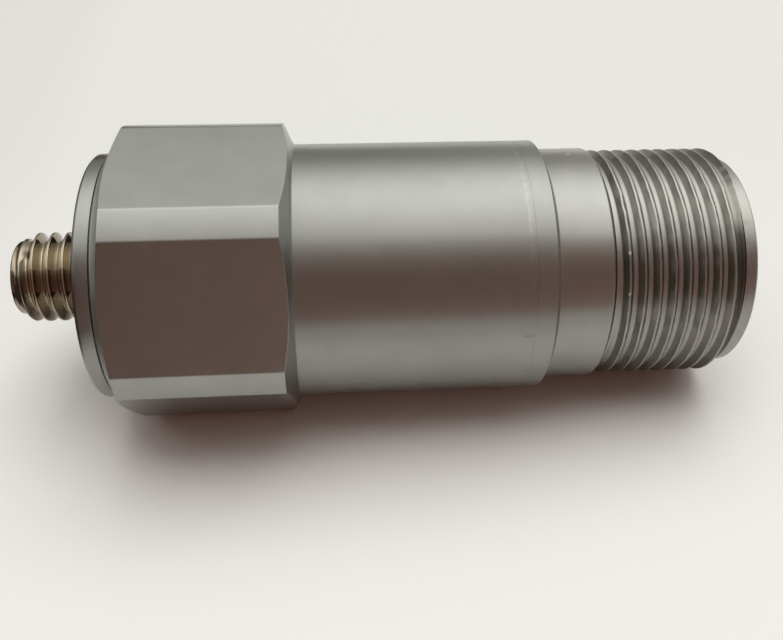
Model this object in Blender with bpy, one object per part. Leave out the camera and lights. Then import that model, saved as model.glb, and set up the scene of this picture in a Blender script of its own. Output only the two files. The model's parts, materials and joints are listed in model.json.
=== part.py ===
"""Industrial vibration sensor with a hexagon base, a turned tube and a threaded connector end.

The sensor lies on one hexagon flat. Its axis runs along +X, from the mounting stud to the
connector's rim, half the hexagon's width above the ground. Inside sit the shear sensing
element, its isolation, the amplifier board and the leads to the two contact pins.

Every piece is built along the X axis with the mounting pad's face at X = 0, and one empty
carries them all to their place.
"""

import math

import bmesh
import bpy
from mathutils import Matrix, Vector

# Clearance between pieces that seat on or hold each other
FIT = 0.0003

# Hexagon, mounting pad and tube, turned from one hexagon bar
HEX_ACROSS_FLATS = 0.024
HEX_CORNER_TRIM = 0.0007
HEX_LENGTH = 0.0155
HEX_FRONT_CHAMFER = 0.00095
HEX_FRONT_DROP = 0.0018
HEX_REAR_CHAMFER = 0.00065
HEX_REAR_DROP = 0.0015
PAD_STEP = 0.00125
PAD_THICKNESS = 0.0013
PAD_EDGE = 0.00025
GROOVE_WIDTH = 0.0002
GROOVE_DEPTH = 0.0003
BODY_STEP = 0.0007
BODY_FILLET = 0.00025
BODY_LENGTH = 0.019
TUBE_WALL = 0.0013
SPIGOT_LENGTH = 0.0018
SPIGOT_STEP = 0.0003

# Mounting stud and its tapped hole
STUD_DIAMETER = 0.0079
STUD_PITCH = 0.00125
STUD_THREAD_DEPTH = 0.00072
STUD_OUT = 0.0073
STUD_IN = 0.0055
STUD_TIP_CHAMFER = 0.0008
STUD_THREAD_TURN = math.radians(-130)
STUD_THREAD_FADE = 0.0017
STUD_POINT_DROP = 0.00013
STUD_SOCKET_WALL = 0.0008
STUD_SOCKET_DEPTH = 0.0025
HOLE_COUNTERSINK = 0.0004
HOLE_POINT = 0.0009
FLOOR_THICKNESS = 0.0012

# Connector shell: flange, neck, external thread, pilot rim and socket
FLANGE_LENGTH = 0.00175
FLANGE_EDGE = 0.00012
NECK_STEP = 0.00078
NECK_LENGTH = 0.0048
UNDERCUT_LENGTH = 0.0005
NECK_TO_CREST = 0.0002
CONNECTOR_PITCH = 0.00127
CONNECTOR_THREAD_DEPTH = 0.00078
CONNECTOR_THREAD_LENGTH = 0.011
CONNECTOR_THREAD_TURN = math.radians(50)
PILOT_STEP = 0.00008
PILOT_LENGTH = 0.0012
PILOT_CHAMFER = 0.0004
RIM_WALL = 0.00185
SOCKET_DEPTH = 0.0085
SHOULDER_STEP = 0.001
SPIGOT_WALL = 0.0024
KEY_WIDTH = 0.0016
KEY_HEIGHT = 0.0009
KEY_LENGTH = 0.0036
KEY_SETBACK = 0.0007
KEY_ROOT = 0.0005

# Socket insert, its seal, its ring and the two contact pins
SEAL_THICKNESS = 0.0006
INSERT_FLANGE = 0.0018
INSERT_BOSS = 0.0034
RING_THICKNESS = 0.0007
RING_WIDTH = 0.0009
PIN_RADIUS = 0.00075
PIN_SPACING = 0.0072
PIN_FRONT = 0.0035
PIN_TAIL = 0.0012
PIN_NOSE = 0.0004

# Isolation and shield
ISOLATION_DISC_THICKNESS = 0.001
SLEEVE_WALL = 0.0005
CUP_WALL = 0.0005
CUP_FLOOR = 0.0007
CAP_THICKNESS = 0.0008
GROMMET_WALL = 0.0005
GROMMET_HOLE_RADIUS = 0.0012
GROMMET_STANDS = 0.0004

# Shear sensing element; the post, the piezo ring and the mass share the room that its sleeves leave
POST_SHARE = 0.364
PIEZO_SHARE = 0.309
POST_FLANGE = 0.0018
PIEZO_LENGTH = 0.0052
ELECTRODE_WALL = 0.0002
ELECTRODE_STANDS = 0.0008
PRELOAD_WALL = 0.0004
PRELOAD_SETBACK = 0.0006
WASHER_THICKNESS = 0.0005
NUT_THICKNESS = 0.002
NUT_WALL = 0.0009
NUT_CORNER_TRIM = 0.0002
POST_STANDS = 0.0004
SPACER_WALL = 0.0005
PLATE_THICKNESS = 0.0008
PLATE_CLEARANCE = 0.0004

# Amplifier board; a component's place is in shares of the board's radius, along Y and Z
STANDOFF_RADIUS = 0.001
STANDOFF_LENGTH = 0.0024
STANDOFF_COUNT = 3
STANDOFF_EDGE = 0.0005
BOARD_THICKNESS = 0.001
CHIP_SIZE = (0.0015, 0.005, 0.004)
CHIP_PLACE = (-0.05, -0.57)
CAPACITOR_SIZE = (0.0016, 0.0032, 0.0016)
CAPACITOR_PLACES = ((0.52, 0.44), (-0.52, 0.44))
RESISTOR_SIZE = (0.0006, 0.002, 0.0012)
RESISTOR_PLACES = ((0.0, 0.69), (0.69, 0.0), (-0.69, 0.0))

# Leads
LEAD_RADIUS = 0.0004
LEAD_BEND = 0.0016
LEAD_PAIR_SPACING = 0.0013

# Smoothness of the round shapes
BODY_SEGMENTS = 48
THREAD_SEGMENTS = 40
STUD_SEGMENTS = 24
INNER_SEGMENTS = 24
LEAD_POINTS = 12
SHARP_ANGLE = math.radians(20)

# Radii that follow from the driving sizes
HEX_HALF = HEX_ACROSS_FLATS / 2
LAND_RADIUS = HEX_HALF / math.cos(math.pi / 6) - HEX_CORNER_TRIM
PAD_RADIUS = HEX_HALF - PAD_STEP
BODY_RADIUS = HEX_HALF - BODY_STEP
BORE_RADIUS = BODY_RADIUS - TUBE_WALL
SPIGOT_BORE_RADIUS = BORE_RADIUS + SPIGOT_STEP
STUD_RADIUS = STUD_DIAMETER / 2
STUD_ROOT = STUD_RADIUS - STUD_THREAD_DEPTH
HOLE_RADIUS = STUD_RADIUS + FIT
NECK_RADIUS = BODY_RADIUS - NECK_STEP
CONNECTOR_CREST = NECK_RADIUS - NECK_TO_CREST
CONNECTOR_ROOT = CONNECTOR_CREST - CONNECTOR_THREAD_DEPTH
PILOT_RADIUS = CONNECTOR_ROOT - PILOT_STEP
SOCKET_RADIUS = PILOT_RADIUS - RIM_WALL
INNER_BORE_RADIUS = SOCKET_RADIUS - SHOULDER_STEP
SPIGOT_RADIUS = SPIGOT_BORE_RADIUS - FIT
SPIGOT_INNER_RADIUS = SPIGOT_RADIUS - SPIGOT_WALL
SLEEVE_RADIUS = BORE_RADIUS - FIT
CUP_RADIUS = SLEEVE_RADIUS - SLEEVE_WALL - FIT
CUP_INNER_RADIUS = CUP_RADIUS - CUP_WALL
ELEMENT_RADIUS = CUP_INNER_RADIUS - FIT
SPACER_INNER = ELEMENT_RADIUS - SPACER_WALL
PRELOAD_OUTER = SPACER_INNER - FIT
PRELOAD_INNER = PRELOAD_OUTER - PRELOAD_WALL
MASS_OUTER = PRELOAD_INNER - FIT
SHARED_ROOM = MASS_OUTER - ELECTRODE_WALL - 3 * FIT
POST_RADIUS = POST_SHARE * SHARED_ROOM
PIEZO_INNER = POST_RADIUS + FIT
PIEZO_OUTER = PIEZO_INNER + PIEZO_SHARE * SHARED_ROOM
ELECTRODE_INNER = PIEZO_OUTER + FIT
ELECTRODE_OUTER = ELECTRODE_INNER + ELECTRODE_WALL
MASS_INNER = ELECTRODE_OUTER + FIT
NUT_HALF = PIEZO_INNER + NUT_WALL

# Places along the axis, from the pad's face
HEX_START = PAD_THICKNESS + GROOVE_WIDTH
HEX_END = HEX_START + HEX_LENGTH
SEAM = HEX_END + BODY_LENGTH
FLOOR = STUD_IN + FIT + HOLE_POINT + FLOOR_THICKNESS
SHELL_START = SEAM - SPIGOT_LENGTH + FIT
FLANGE_START = SEAM + FIT
FLANGE_END = FLANGE_START + FLANGE_LENGTH
NECK_END = FLANGE_END + NECK_LENGTH
THREAD_START = NECK_END + UNDERCUT_LENGTH
THREAD_END = THREAD_START + CONNECTOR_THREAD_LENGTH
RIM = THREAD_END + PILOT_LENGTH
SOCKET_FLOOR = RIM - SOCKET_DEPTH
DISC_START = FLOOR + FIT
CUP_START = DISC_START + ISOLATION_DISC_THICKNESS + FIT
CUP_END = SHELL_START - FIT
POST_START = CUP_START + CUP_FLOOR + FIT
POST_TOP_OF_FLANGE = POST_START + POST_FLANGE
ELEMENT_START = POST_TOP_OF_FLANGE + FIT
PIEZO_END = ELEMENT_START + PIEZO_LENGTH
WASHER_START = PIEZO_END + FIT
NUT_START = WASHER_START + WASHER_THICKNESS + FIT
NUT_END = NUT_START + NUT_THICKNESS
POST_END = NUT_END + POST_STANDS
PLATE_START = POST_END + PLATE_CLEARANCE
PLATE_END = PLATE_START + PLATE_THICKNESS
STANDOFF_START = PLATE_END + FIT
BOARD_START = STANDOFF_START + STANDOFF_LENGTH + FIT
BOARD_END = BOARD_START + BOARD_THICKNESS
CAP_START = CUP_END - CAP_THICKNESS
SEAL_START = SOCKET_FLOOR + FIT
INSERT_START = SEAL_START + SEAL_THICKNESS + FIT
INSERT_END = INSERT_START + INSERT_FLANGE
INSERT_BACK = INSERT_START - INSERT_BOSS
RING_START = INSERT_END + FIT
PIN_START = INSERT_BACK - PIN_TAIL
PIN_END = INSERT_END + PIN_FRONT

# The whole sensor, centred along X and lying on a flat
CENTRE = (RIM - STUD_OUT) / 2


def material(name, colour, roughness, metallic):
    """A Principled material with the piece's colour, roughness and metallic value."""
    made = bpy.data.materials.new(name)
    made.use_nodes = True
    shader = made.node_tree.nodes["Principled BSDF"]
    shader.inputs["Base Color"].default_value = (*colour, 1)
    shader.inputs["Roughness"].default_value = roughness
    shader.inputs["Metallic"].default_value = metallic
    made.diffuse_color = (*colour, 1)
    return made


def add_object(name, mesh, finish, parent):
    """One named piece, carried by the sensor's frame."""
    piece = bpy.data.objects.new(name, mesh)
    bpy.context.scene.collection.objects.link(piece)
    piece.parent = parent
    mesh.materials.clear()
    mesh.materials.append(finish)
    return piece


def finish_mesh(name, shape):
    """Closes off a bmesh: welds doubles, points the faces out and shades the round sides smooth."""
    bmesh.ops.remove_doubles(shape, verts=shape.verts, dist=1e-6)
    bmesh.ops.recalc_face_normals(shape, faces=shape.faces)
    mesh = bpy.data.meshes.new(name)
    shape.to_mesh(mesh)
    shape.free()
    mesh.shade_smooth()
    mesh.set_sharp_from_angle(angle=SHARP_ANGLE)
    return mesh


def turned_mesh(name, outline, segments):
    """Spins a closed outline of (place along the axis, radius) points round the X axis."""
    shape = bmesh.new()
    corners = [shape.verts.new((x, radius, 0)) for x, radius in outline]
    sides = []
    for index, corner in enumerate(corners):
        following = corners[(index + 1) % len(corners)]
        on_axis = outline[index][1] == 0 and outline[(index + 1) % len(corners)][1] == 0
        if not on_axis:
            sides.append(shape.edges.new((corner, following)))
    bmesh.ops.spin(
        shape,
        geom=corners + sides,
        cent=(0, 0, 0),
        axis=(1, 0, 0),
        angle=math.tau,
        steps=segments,
        use_merge=True,
        use_duplicate=False,
    )
    return finish_mesh(name, shape)


def ring_outline(start, end, inner, outer):
    return [(start, inner), (start, outer), (end, outer), (end, inner)]


def disc_outline(start, end, radius):
    return [(start, 0), (start, radius), (end, radius), (end, 0)]


def box_mesh(name, low, high):
    shape = bmesh.new()
    bmesh.ops.create_cube(shape, size=1)
    size = Vector(high) - Vector(low)
    middle = (Vector(high) + Vector(low)) / 2
    placing = Matrix.Translation(middle) @ Matrix.Diagonal((*size, 1))
    bmesh.ops.transform(shape, matrix=placing, verts=shape.verts)
    return finish_mesh(name, shape)


def boolean(piece, tool_mesh, operation):
    """Cuts or joins a tool shape and keeps only the result."""
    tool = bpy.data.objects.new(tool_mesh.name, tool_mesh)
    bpy.context.scene.collection.objects.link(tool)
    tool.parent = piece.parent
    step = piece.modifiers.new(operation, "BOOLEAN")
    step.operation = operation
    step.solver = "EXACT"
    step.object = tool
    bpy.context.view_layer.update()
    result = bpy.data.meshes.new_from_object(piece.evaluated_get(bpy.context.evaluated_depsgraph_get()))
    finish = piece.data.materials[0]
    piece.modifiers.clear()
    piece.data = result
    result.materials.clear()
    result.materials.append(finish)
    result.shade_smooth()
    result.set_sharp_from_angle(angle=SHARP_ANGLE)
    bpy.data.objects.remove(tool)


def add_rings(shape, outline, segments):
    """Joins one ring of corners after another into an open turned surface."""
    rings = []
    for x, radius in outline:
        rings.append([])
        for step in range(segments):
            angle = math.tau * step / segments
            rings[-1].append(shape.verts.new((x, radius * math.cos(angle), radius * math.sin(angle))))
    for left, right in zip(rings, rings[1:]):
        for step in range(segments):
            after = (step + 1) % segments
            shape.faces.new((left[step], right[step], right[after], left[after]))


def add_cap(shape, x, radius, segments):
    """A flat disc of triangles across one end."""
    centre = shape.verts.new((x, 0, 0))
    rim = []
    for step in range(segments):
        angle = math.tau * step / segments
        rim.append(shape.verts.new((x, radius * math.cos(angle), radius * math.sin(angle))))
    for step in range(segments):
        shape.faces.new((centre, rim[step], rim[(step + 1) % segments]))


def add_thread(shape, start, end, pitch, root, crest, run_in, run_out, segments):
    """A right-hand thread of V form with narrow flats, fading to its root at both ends.

    Each turn has four points: the root's two ends and the crest's two ends. The points past
    either end are held on the end's plane, where finish_mesh welds them into one plain ring.
    """
    form = ((0.0, 0.0), (0.40, 1.0), (0.54, 1.0), (0.94, 0.0))
    turns = math.ceil((end - start) / pitch) + 1
    rows = []
    for step in range((turns + 1) * segments + 1):
        angle = math.tau * step / segments
        row = []
        for share, height in form:
            x = start + pitch * (step / segments - 1 + share)
            x = min(max(x, start), end)
            rise = min(1, (x - start) / run_in, (end - x) / run_out)
            radius = root + (crest - root) * height * rise
            row.append(shape.verts.new((x, radius * math.cos(angle), radius * math.sin(angle))))
        rows.append(row)
    for step in range(turns * segments):
        here = rows[step] + [rows[step + segments][0]]
        there = rows[step + 1] + [rows[step + 1 + segments][0]]
        for index in range(len(form)):
            shape.faces.new((here[index], here[index + 1], there[index + 1], there[index]))
    for vertex in [vertex for vertex in shape.verts if not vertex.link_faces]:
        shape.verts.remove(vertex)


def lead_object(name, points, finish, parent):
    """A lead: a round wire along a smooth curve through its route's points."""
    curve = bpy.data.curves.new(name, "CURVE")
    curve.dimensions = "3D"
    curve.bevel_depth = LEAD_RADIUS
    curve.bevel_resolution = 2
    curve.use_fill_caps = True
    smooth = smooth_route([Vector(point) for point in points], LEAD_POINTS)
    spline = curve.splines.new("POLY")
    spline.points.add(len(smooth) - 1)
    for corner, place in zip(spline.points, smooth):
        corner.co = (*place, 1)
    piece = bpy.data.objects.new(name, curve)
    bpy.context.scene.collection.objects.link(piece)
    piece.parent = parent
    curve.materials.append(finish)
    return piece


def smooth_route(route, count):
    """Points along the cubic Bezier curve of four route points."""
    first, second, third, last = route
    points = []
    for index in range(count):
        share = index / (count - 1)
        rest = 1 - share
        bend = 3 * rest * share * (rest * second + share * third)
        points.append(rest**3 * first + bend + share**3 * last)
    return points


def hexagon_frame(name, start, end, half_width):
    """A hexagonal frame whose inner sides are the flats to be cut."""
    shape = bmesh.new()
    loops = []
    for x, scale in ((start, 1), (end, 1), (end, 2), (start, 2)):
        corner_radius = scale * half_width / math.cos(math.pi / 6)
        loops.append([])
        for step in range(6):
            angle = math.tau * step / 6
            place = (x, corner_radius * math.cos(angle), corner_radius * math.sin(angle))
            loops[-1].append(shape.verts.new(place))
    for index, loop in enumerate(loops):
        following = loops[(index + 1) % len(loops)]
        for step in range(6):
            after = (step + 1) % 6
            shape.faces.new((loop[step], following[step], following[after], loop[after]))
    return finish_mesh(name, shape)


def fillet_points(x, radius, size, count):
    """An inside corner of the given size, from a face that faces +X down to a turned side."""
    points = []
    for step in range(count + 1):
        angle = math.pi / 2 * step / count
        points.append((x + size * (1 - math.cos(angle)), radius + size * (1 - math.sin(angle))))
    return points


def housing(finish, parent):
    """Pad, hexagon and tube in one machined piece, with the tapped hole and the element's bore."""
    hole_end = STUD_IN + FIT
    rear_foot = LAND_RADIUS - HEX_REAR_DROP
    outline = [
        (hole_end + HOLE_POINT, 0),
        (hole_end, HOLE_RADIUS),
        (HOLE_COUNTERSINK, HOLE_RADIUS),
        (0, HOLE_RADIUS + HOLE_COUNTERSINK),
        (0, PAD_RADIUS - PAD_EDGE),
        (PAD_EDGE, PAD_RADIUS),
        (PAD_THICKNESS, PAD_RADIUS),
        (PAD_THICKNESS, PAD_RADIUS - GROOVE_DEPTH),
        (HEX_START, PAD_RADIUS - GROOVE_DEPTH),
        (HEX_START, LAND_RADIUS - HEX_FRONT_DROP),
        (HEX_START + HEX_FRONT_CHAMFER, LAND_RADIUS),
        (HEX_END - HEX_REAR_CHAMFER - BODY_FILLET, LAND_RADIUS),
        (HEX_END - BODY_FILLET, rear_foot),
    ]
    outline += fillet_points(HEX_END - BODY_FILLET, BODY_RADIUS, BODY_FILLET, 2)
    outline += [
        (SEAM, BODY_RADIUS),
        (SEAM, SPIGOT_BORE_RADIUS),
        (SEAM - SPIGOT_LENGTH, SPIGOT_BORE_RADIUS),
        (SEAM - SPIGOT_LENGTH, BORE_RADIUS),
        (FLOOR, BORE_RADIUS),
        (FLOOR, 0),
    ]
    piece = add_object("housing", turned_mesh("housing", outline, BODY_SEGMENTS), finish, parent)
    flats = hexagon_frame("flats", PAD_THICKNESS, HEX_END + BODY_FILLET, HEX_HALF)
    boolean(piece, flats, "DIFFERENCE")


def mounting_stud(finish, parent):
    """Set screw with a hexagon socket: threaded outside the pad, a plain shank in its hole."""
    shape = bmesh.new()
    tip = -STUD_OUT
    thread_start = tip + STUD_TIP_CHAMFER / 2
    tip_radius = STUD_ROOT - STUD_POINT_DROP
    add_cap(shape, tip, tip_radius, STUD_SEGMENTS)
    add_rings(shape, [(tip, tip_radius), (thread_start, STUD_ROOT)], STUD_SEGMENTS)
    add_thread(
        shape,
        thread_start,
        0,
        STUD_PITCH,
        STUD_ROOT,
        STUD_RADIUS,
        STUD_THREAD_FADE,
        STUD_PITCH / 4,
        STUD_SEGMENTS,
    )
    shank_end = [(0, STUD_ROOT), (STUD_PITCH / 4, STUD_RADIUS), (STUD_IN - STUD_TIP_CHAMFER, STUD_RADIUS)]
    shank_end.append((STUD_IN, STUD_ROOT))
    add_rings(shape, shank_end, STUD_SEGMENTS)
    add_cap(shape, STUD_IN, STUD_ROOT, STUD_SEGMENTS)
    mesh = finish_mesh("mounting_stud", shape)
    mesh.transform(Matrix.Rotation(STUD_THREAD_TURN, 4, "X"))
    piece = add_object("mounting_stud", mesh, finish, parent)
    socket = disc_outline(tip - FIT, tip + STUD_SOCKET_DEPTH, tip_radius - STUD_SOCKET_WALL)
    boolean(piece, turned_mesh("socket", socket, 6), "DIFFERENCE")


def connector_shell(finish, parent):
    """Flange, neck, external thread and rim, with the spigot that enters the tube and the socket."""
    shape = bmesh.new()
    add_rings(
        shape,
        [
            (SHELL_START, SPIGOT_INNER_RADIUS),
            (SHELL_START, SPIGOT_RADIUS),
            (FLANGE_START, SPIGOT_RADIUS),
            (FLANGE_START, BODY_RADIUS),
            (FLANGE_END - FLANGE_EDGE, BODY_RADIUS),
            (FLANGE_END, BODY_RADIUS - FLANGE_EDGE),
            (FLANGE_END, NECK_RADIUS),
            (NECK_END, NECK_RADIUS),
            (NECK_END + NECK_TO_CREST, CONNECTOR_CREST),
            (NECK_END + NECK_TO_CREST, CONNECTOR_ROOT),
            (THREAD_START, CONNECTOR_ROOT),
        ],
        THREAD_SEGMENTS,
    )
    add_thread(
        shape,
        THREAD_START,
        THREAD_END,
        CONNECTOR_PITCH,
        CONNECTOR_ROOT,
        CONNECTOR_CREST,
        CONNECTOR_PITCH / 3,
        CONNECTOR_PITCH / 2,
        THREAD_SEGMENTS,
    )
    add_rings(
        shape,
        [
            (THREAD_END, CONNECTOR_ROOT),
            (THREAD_END, PILOT_RADIUS),
            (RIM - PILOT_CHAMFER, PILOT_RADIUS),
            (RIM, PILOT_RADIUS - PILOT_CHAMFER),
            (RIM, SOCKET_RADIUS),
            (SOCKET_FLOOR, SOCKET_RADIUS),
            (SOCKET_FLOOR, INNER_BORE_RADIUS),
            (FLANGE_END, INNER_BORE_RADIUS),
            (FLANGE_END, SPIGOT_INNER_RADIUS),
            (SHELL_START, SPIGOT_INNER_RADIUS),
        ],
        THREAD_SEGMENTS,
    )
    mesh = finish_mesh("connector_shell", shape)
    mesh.transform(Matrix.Rotation(CONNECTOR_THREAD_TURN, 4, "X"))
    piece = add_object("connector_shell", mesh, finish, parent)
    key = box_mesh(
        "key",
        (RIM - KEY_SETBACK - KEY_LENGTH, -KEY_WIDTH / 2, SOCKET_RADIUS - KEY_HEIGHT),
        (RIM - KEY_SETBACK, KEY_WIDTH / 2, SOCKET_RADIUS + KEY_ROOT),
    )
    boolean(piece, key, "UNION")


def turned_piece(name, outline, finish, parent):
    return add_object(name, turned_mesh(name, outline, INNER_SEGMENTS), finish, parent)


def drill(piece, places, radius, start, end):
    """Round holes along the axis through a disc, at the given (Y, Z) places."""
    for y, z in places:
        tool = turned_mesh("drill", disc_outline(start, end, radius), INNER_SEGMENTS // 2)
        tool.transform(Matrix.Translation((0, y, z)))
        boolean(piece, tool, "DIFFERENCE")


def pin_places():
    return [(-PIN_SPACING / 2, 0), (PIN_SPACING / 2, 0)]


def connector_contacts(plastic, rubber, steel, gold, parent):
    """The socket's insert on its seal, the ring that keeps it in, and the two contact pins."""
    flange_radius = SOCKET_RADIUS - FIT
    seal_end = SEAL_START + SEAL_THICKNESS
    seal = ring_outline(SEAL_START, seal_end, INNER_BORE_RADIUS, flange_radius)
    turned_piece("insert_seal", seal, rubber, parent)
    boss_radius = INNER_BORE_RADIUS - FIT
    insert = turned_piece(
        "connector_insert",
        [
            (INSERT_BACK, 0),
            (INSERT_BACK, boss_radius),
            (INSERT_START, boss_radius),
            (INSERT_START, flange_radius),
            (INSERT_END, flange_radius),
            (INSERT_END, 0),
        ],
        plastic,
        parent,
    )
    hole_radius = PIN_RADIUS + FIT
    drill(insert, pin_places(), hole_radius, INSERT_BACK - FIT, INSERT_END + FIT)
    turned_piece(
        "retaining_ring",
        ring_outline(RING_START, RING_START + RING_THICKNESS, flange_radius - RING_WIDTH, flange_radius),
        steel,
        parent,
    )
    for number, (y, z) in enumerate(pin_places(), start=1):
        outline = [
            (PIN_START, 0),
            (PIN_START, PIN_RADIUS),
            (PIN_END - PIN_NOSE, PIN_RADIUS),
            (PIN_END, PIN_RADIUS - PIN_NOSE),
            (PIN_END, 0),
        ]
        mesh = turned_mesh(f"contact_pin_{number}", outline, INNER_SEGMENTS // 2)
        mesh.transform(Matrix.Translation((0, y, z)))
        add_object(f"contact_pin_{number}", mesh, gold, parent)


def isolation(ceramic, polymer, tin, parent):
    """The ceramic disc and polymer sleeve that keep the inner shield clear of the housing."""
    disc = disc_outline(DISC_START, DISC_START + ISOLATION_DISC_THICKNESS, SLEEVE_RADIUS)
    turned_piece("isolation_disc", disc, ceramic, parent)
    sleeve = ring_outline(CUP_START, CUP_END, SLEEVE_RADIUS - SLEEVE_WALL, SLEEVE_RADIUS)
    turned_piece("isolation_sleeve", sleeve, polymer, parent)
    turned_piece(
        "shield_cup",
        [
            (CUP_START, 0),
            (CUP_START, CUP_RADIUS),
            (CUP_END, CUP_RADIUS),
            (CUP_END, CUP_INNER_RADIUS),
            (CUP_START + CUP_FLOOR, CUP_INNER_RADIUS),
            (CUP_START + CUP_FLOOR, 0),
        ],
        tin,
        parent,
    )
    hole_radius = GROMMET_HOLE_RADIUS + GROMMET_WALL + FIT
    turned_piece("shield_cap", ring_outline(CAP_START, CUP_END, hole_radius, ELEMENT_RADIUS), tin, parent)
    turned_piece(
        "lead_grommet",
        ring_outline(
            CAP_START - GROMMET_STANDS,
            CUP_END + GROMMET_STANDS,
            GROMMET_HOLE_RADIUS,
            GROMMET_HOLE_RADIUS + GROMMET_WALL,
        ),
        polymer,
        parent,
    )


def sensing_element(steel, piezo, silver, tungsten, parent):
    """Post, shear ring, electrode, seismic mass and preload ring, closed by a washer and a nut."""
    turned_piece(
        "sensor_post",
        [
            (POST_START, 0),
            (POST_START, ELEMENT_RADIUS),
            (POST_TOP_OF_FLANGE, ELEMENT_RADIUS),
            (POST_TOP_OF_FLANGE, POST_RADIUS),
            (POST_END, POST_RADIUS),
            (POST_END, 0),
        ],
        steel,
        parent,
    )
    shear_ring = ring_outline(ELEMENT_START, PIEZO_END, PIEZO_INNER, PIEZO_OUTER)
    turned_piece("piezo_ring", shear_ring, piezo, parent)
    electrode_end = PIEZO_END + ELECTRODE_STANDS
    electrode = ring_outline(ELEMENT_START, electrode_end, ELECTRODE_INNER, ELECTRODE_OUTER)
    turned_piece("electrode_sleeve", electrode, silver, parent)
    mass = ring_outline(ELEMENT_START, PIEZO_END, MASS_INNER, MASS_OUTER)
    turned_piece("seismic_mass", mass, tungsten, parent)
    turned_piece(
        "preload_ring",
        ring_outline(
            ELEMENT_START + PRELOAD_SETBACK,
            PIEZO_END - PRELOAD_SETBACK,
            PRELOAD_INNER,
            PRELOAD_OUTER,
        ),
        steel,
        parent,
    )
    washer = ring_outline(WASHER_START, WASHER_START + WASHER_THICKNESS, PIEZO_INNER, PIEZO_OUTER)
    turned_piece("clamp_washer", washer, steel, parent)
    nut_corner = NUT_HALF / math.cos(math.pi / 6) - NUT_CORNER_TRIM
    nut = ring_outline(NUT_START, NUT_END, PIEZO_INNER, nut_corner)
    nut_piece = turned_piece("clamp_nut", nut, steel, parent)
    nut_flats = hexagon_frame("nut_flats", NUT_START - FIT, NUT_END + FIT, NUT_HALF)
    boolean(nut_piece, nut_flats, "DIFFERENCE")
    spacer = ring_outline(ELEMENT_START, PLATE_START - FIT, SPACER_INNER, ELEMENT_RADIUS)
    turned_piece("spacer_tube", spacer, steel, parent)


def board_part(name, size, place, finish, parent):
    """A flat component on the board's far side, with its middle at the given place."""
    thickness, width, height = size
    y, z = (share * ELEMENT_RADIUS for share in place)
    low = (BOARD_END + FIT, y - width / 2, z - height / 2)
    high = (BOARD_END + FIT + thickness, y + width / 2, z + height / 2)
    add_object(name, box_mesh(name, low, high), finish, parent)


def amplifier(laminate, black, tan, steel, parent):
    """The insulating plate, the standoffs, the round board and its components."""
    lead_hole = LEAD_RADIUS + FIT
    signal_y = (ELECTRODE_INNER + ELECTRODE_OUTER) / 2
    plate_disc = disc_outline(PLATE_START, PLATE_END, ELEMENT_RADIUS)
    plate = turned_piece("insulating_plate", plate_disc, laminate, parent)
    drill(plate, [(0, 0), (signal_y, 0)], lead_hole, PLATE_START - FIT, PLATE_END + FIT)
    standoff_circle = ELEMENT_RADIUS - STANDOFF_EDGE - STANDOFF_RADIUS
    for number in range(1, STANDOFF_COUNT + 1):
        angle = math.tau * (number - 0.25) / STANDOFF_COUNT
        name = f"standoff_{number}"
        mesh = turned_mesh(
            name,
            disc_outline(STANDOFF_START, STANDOFF_START + STANDOFF_LENGTH, STANDOFF_RADIUS),
            INNER_SEGMENTS // 2,
        )
        place = (0, standoff_circle * math.cos(angle), standoff_circle * math.sin(angle))
        mesh.transform(Matrix.Translation(place))
        add_object(name, mesh, steel, parent)
    board = disc_outline(BOARD_START, BOARD_END, ELEMENT_RADIUS)
    turned_piece("circuit_board", board, laminate, parent)
    board_part("amplifier_chip", CHIP_SIZE, CHIP_PLACE, black, parent)
    for number, place in enumerate(CAPACITOR_PLACES, start=1):
        board_part(f"capacitor_{number}", CAPACITOR_SIZE, place, tan, parent)
    for number, place in enumerate(RESISTOR_PLACES, start=1):
        board_part(f"resistor_{number}", RESISTOR_SIZE, place, black, parent)


def leads(white, red, parent):
    """Two leads from the element to the board and two from the board to the pins."""
    signal_y = (ELECTRODE_INNER + ELECTRODE_OUTER) / 2
    end = BOARD_START - FIT
    for name, y, start, finish in (
        ("signal_lead", signal_y, PIEZO_END + ELECTRODE_STANDS + FIT, red),
        ("ground_lead", 0, POST_END + FIT, white),
    ):
        third = (end - start) / 3
        route = [(start, y, 0), (start + third, y, 0), (end - third, y, 0), (end, y, 0)]
        lead_object(name, route, finish, parent)
    start = BOARD_END + FIT
    end = PIN_START - FIT
    neck = CUP_END
    for number, (y, z) in enumerate(pin_places(), start=1):
        side = math.copysign(LEAD_PAIR_SPACING / 2, y)
        straight = [(x, side, 0) for x in (start, start + LEAD_BEND, neck - LEAD_BEND, neck)]
        fan = [(neck, side, 0), (neck + LEAD_BEND, side, 0), (end - LEAD_BEND, y, z), (end, y, z)]
        name = f"output_lead_{number}"
        piece = lead_object(name, straight, red if number == 1 else white, parent)
        spline = piece.data.splines[0]
        bends = smooth_route([Vector(point) for point in fan], LEAD_POINTS)[1:]
        filled = len(spline.points)
        spline.points.add(len(bends))
        for index, place in enumerate(bends):
            spline.points[filled + index].co = (*place, 1)


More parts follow.
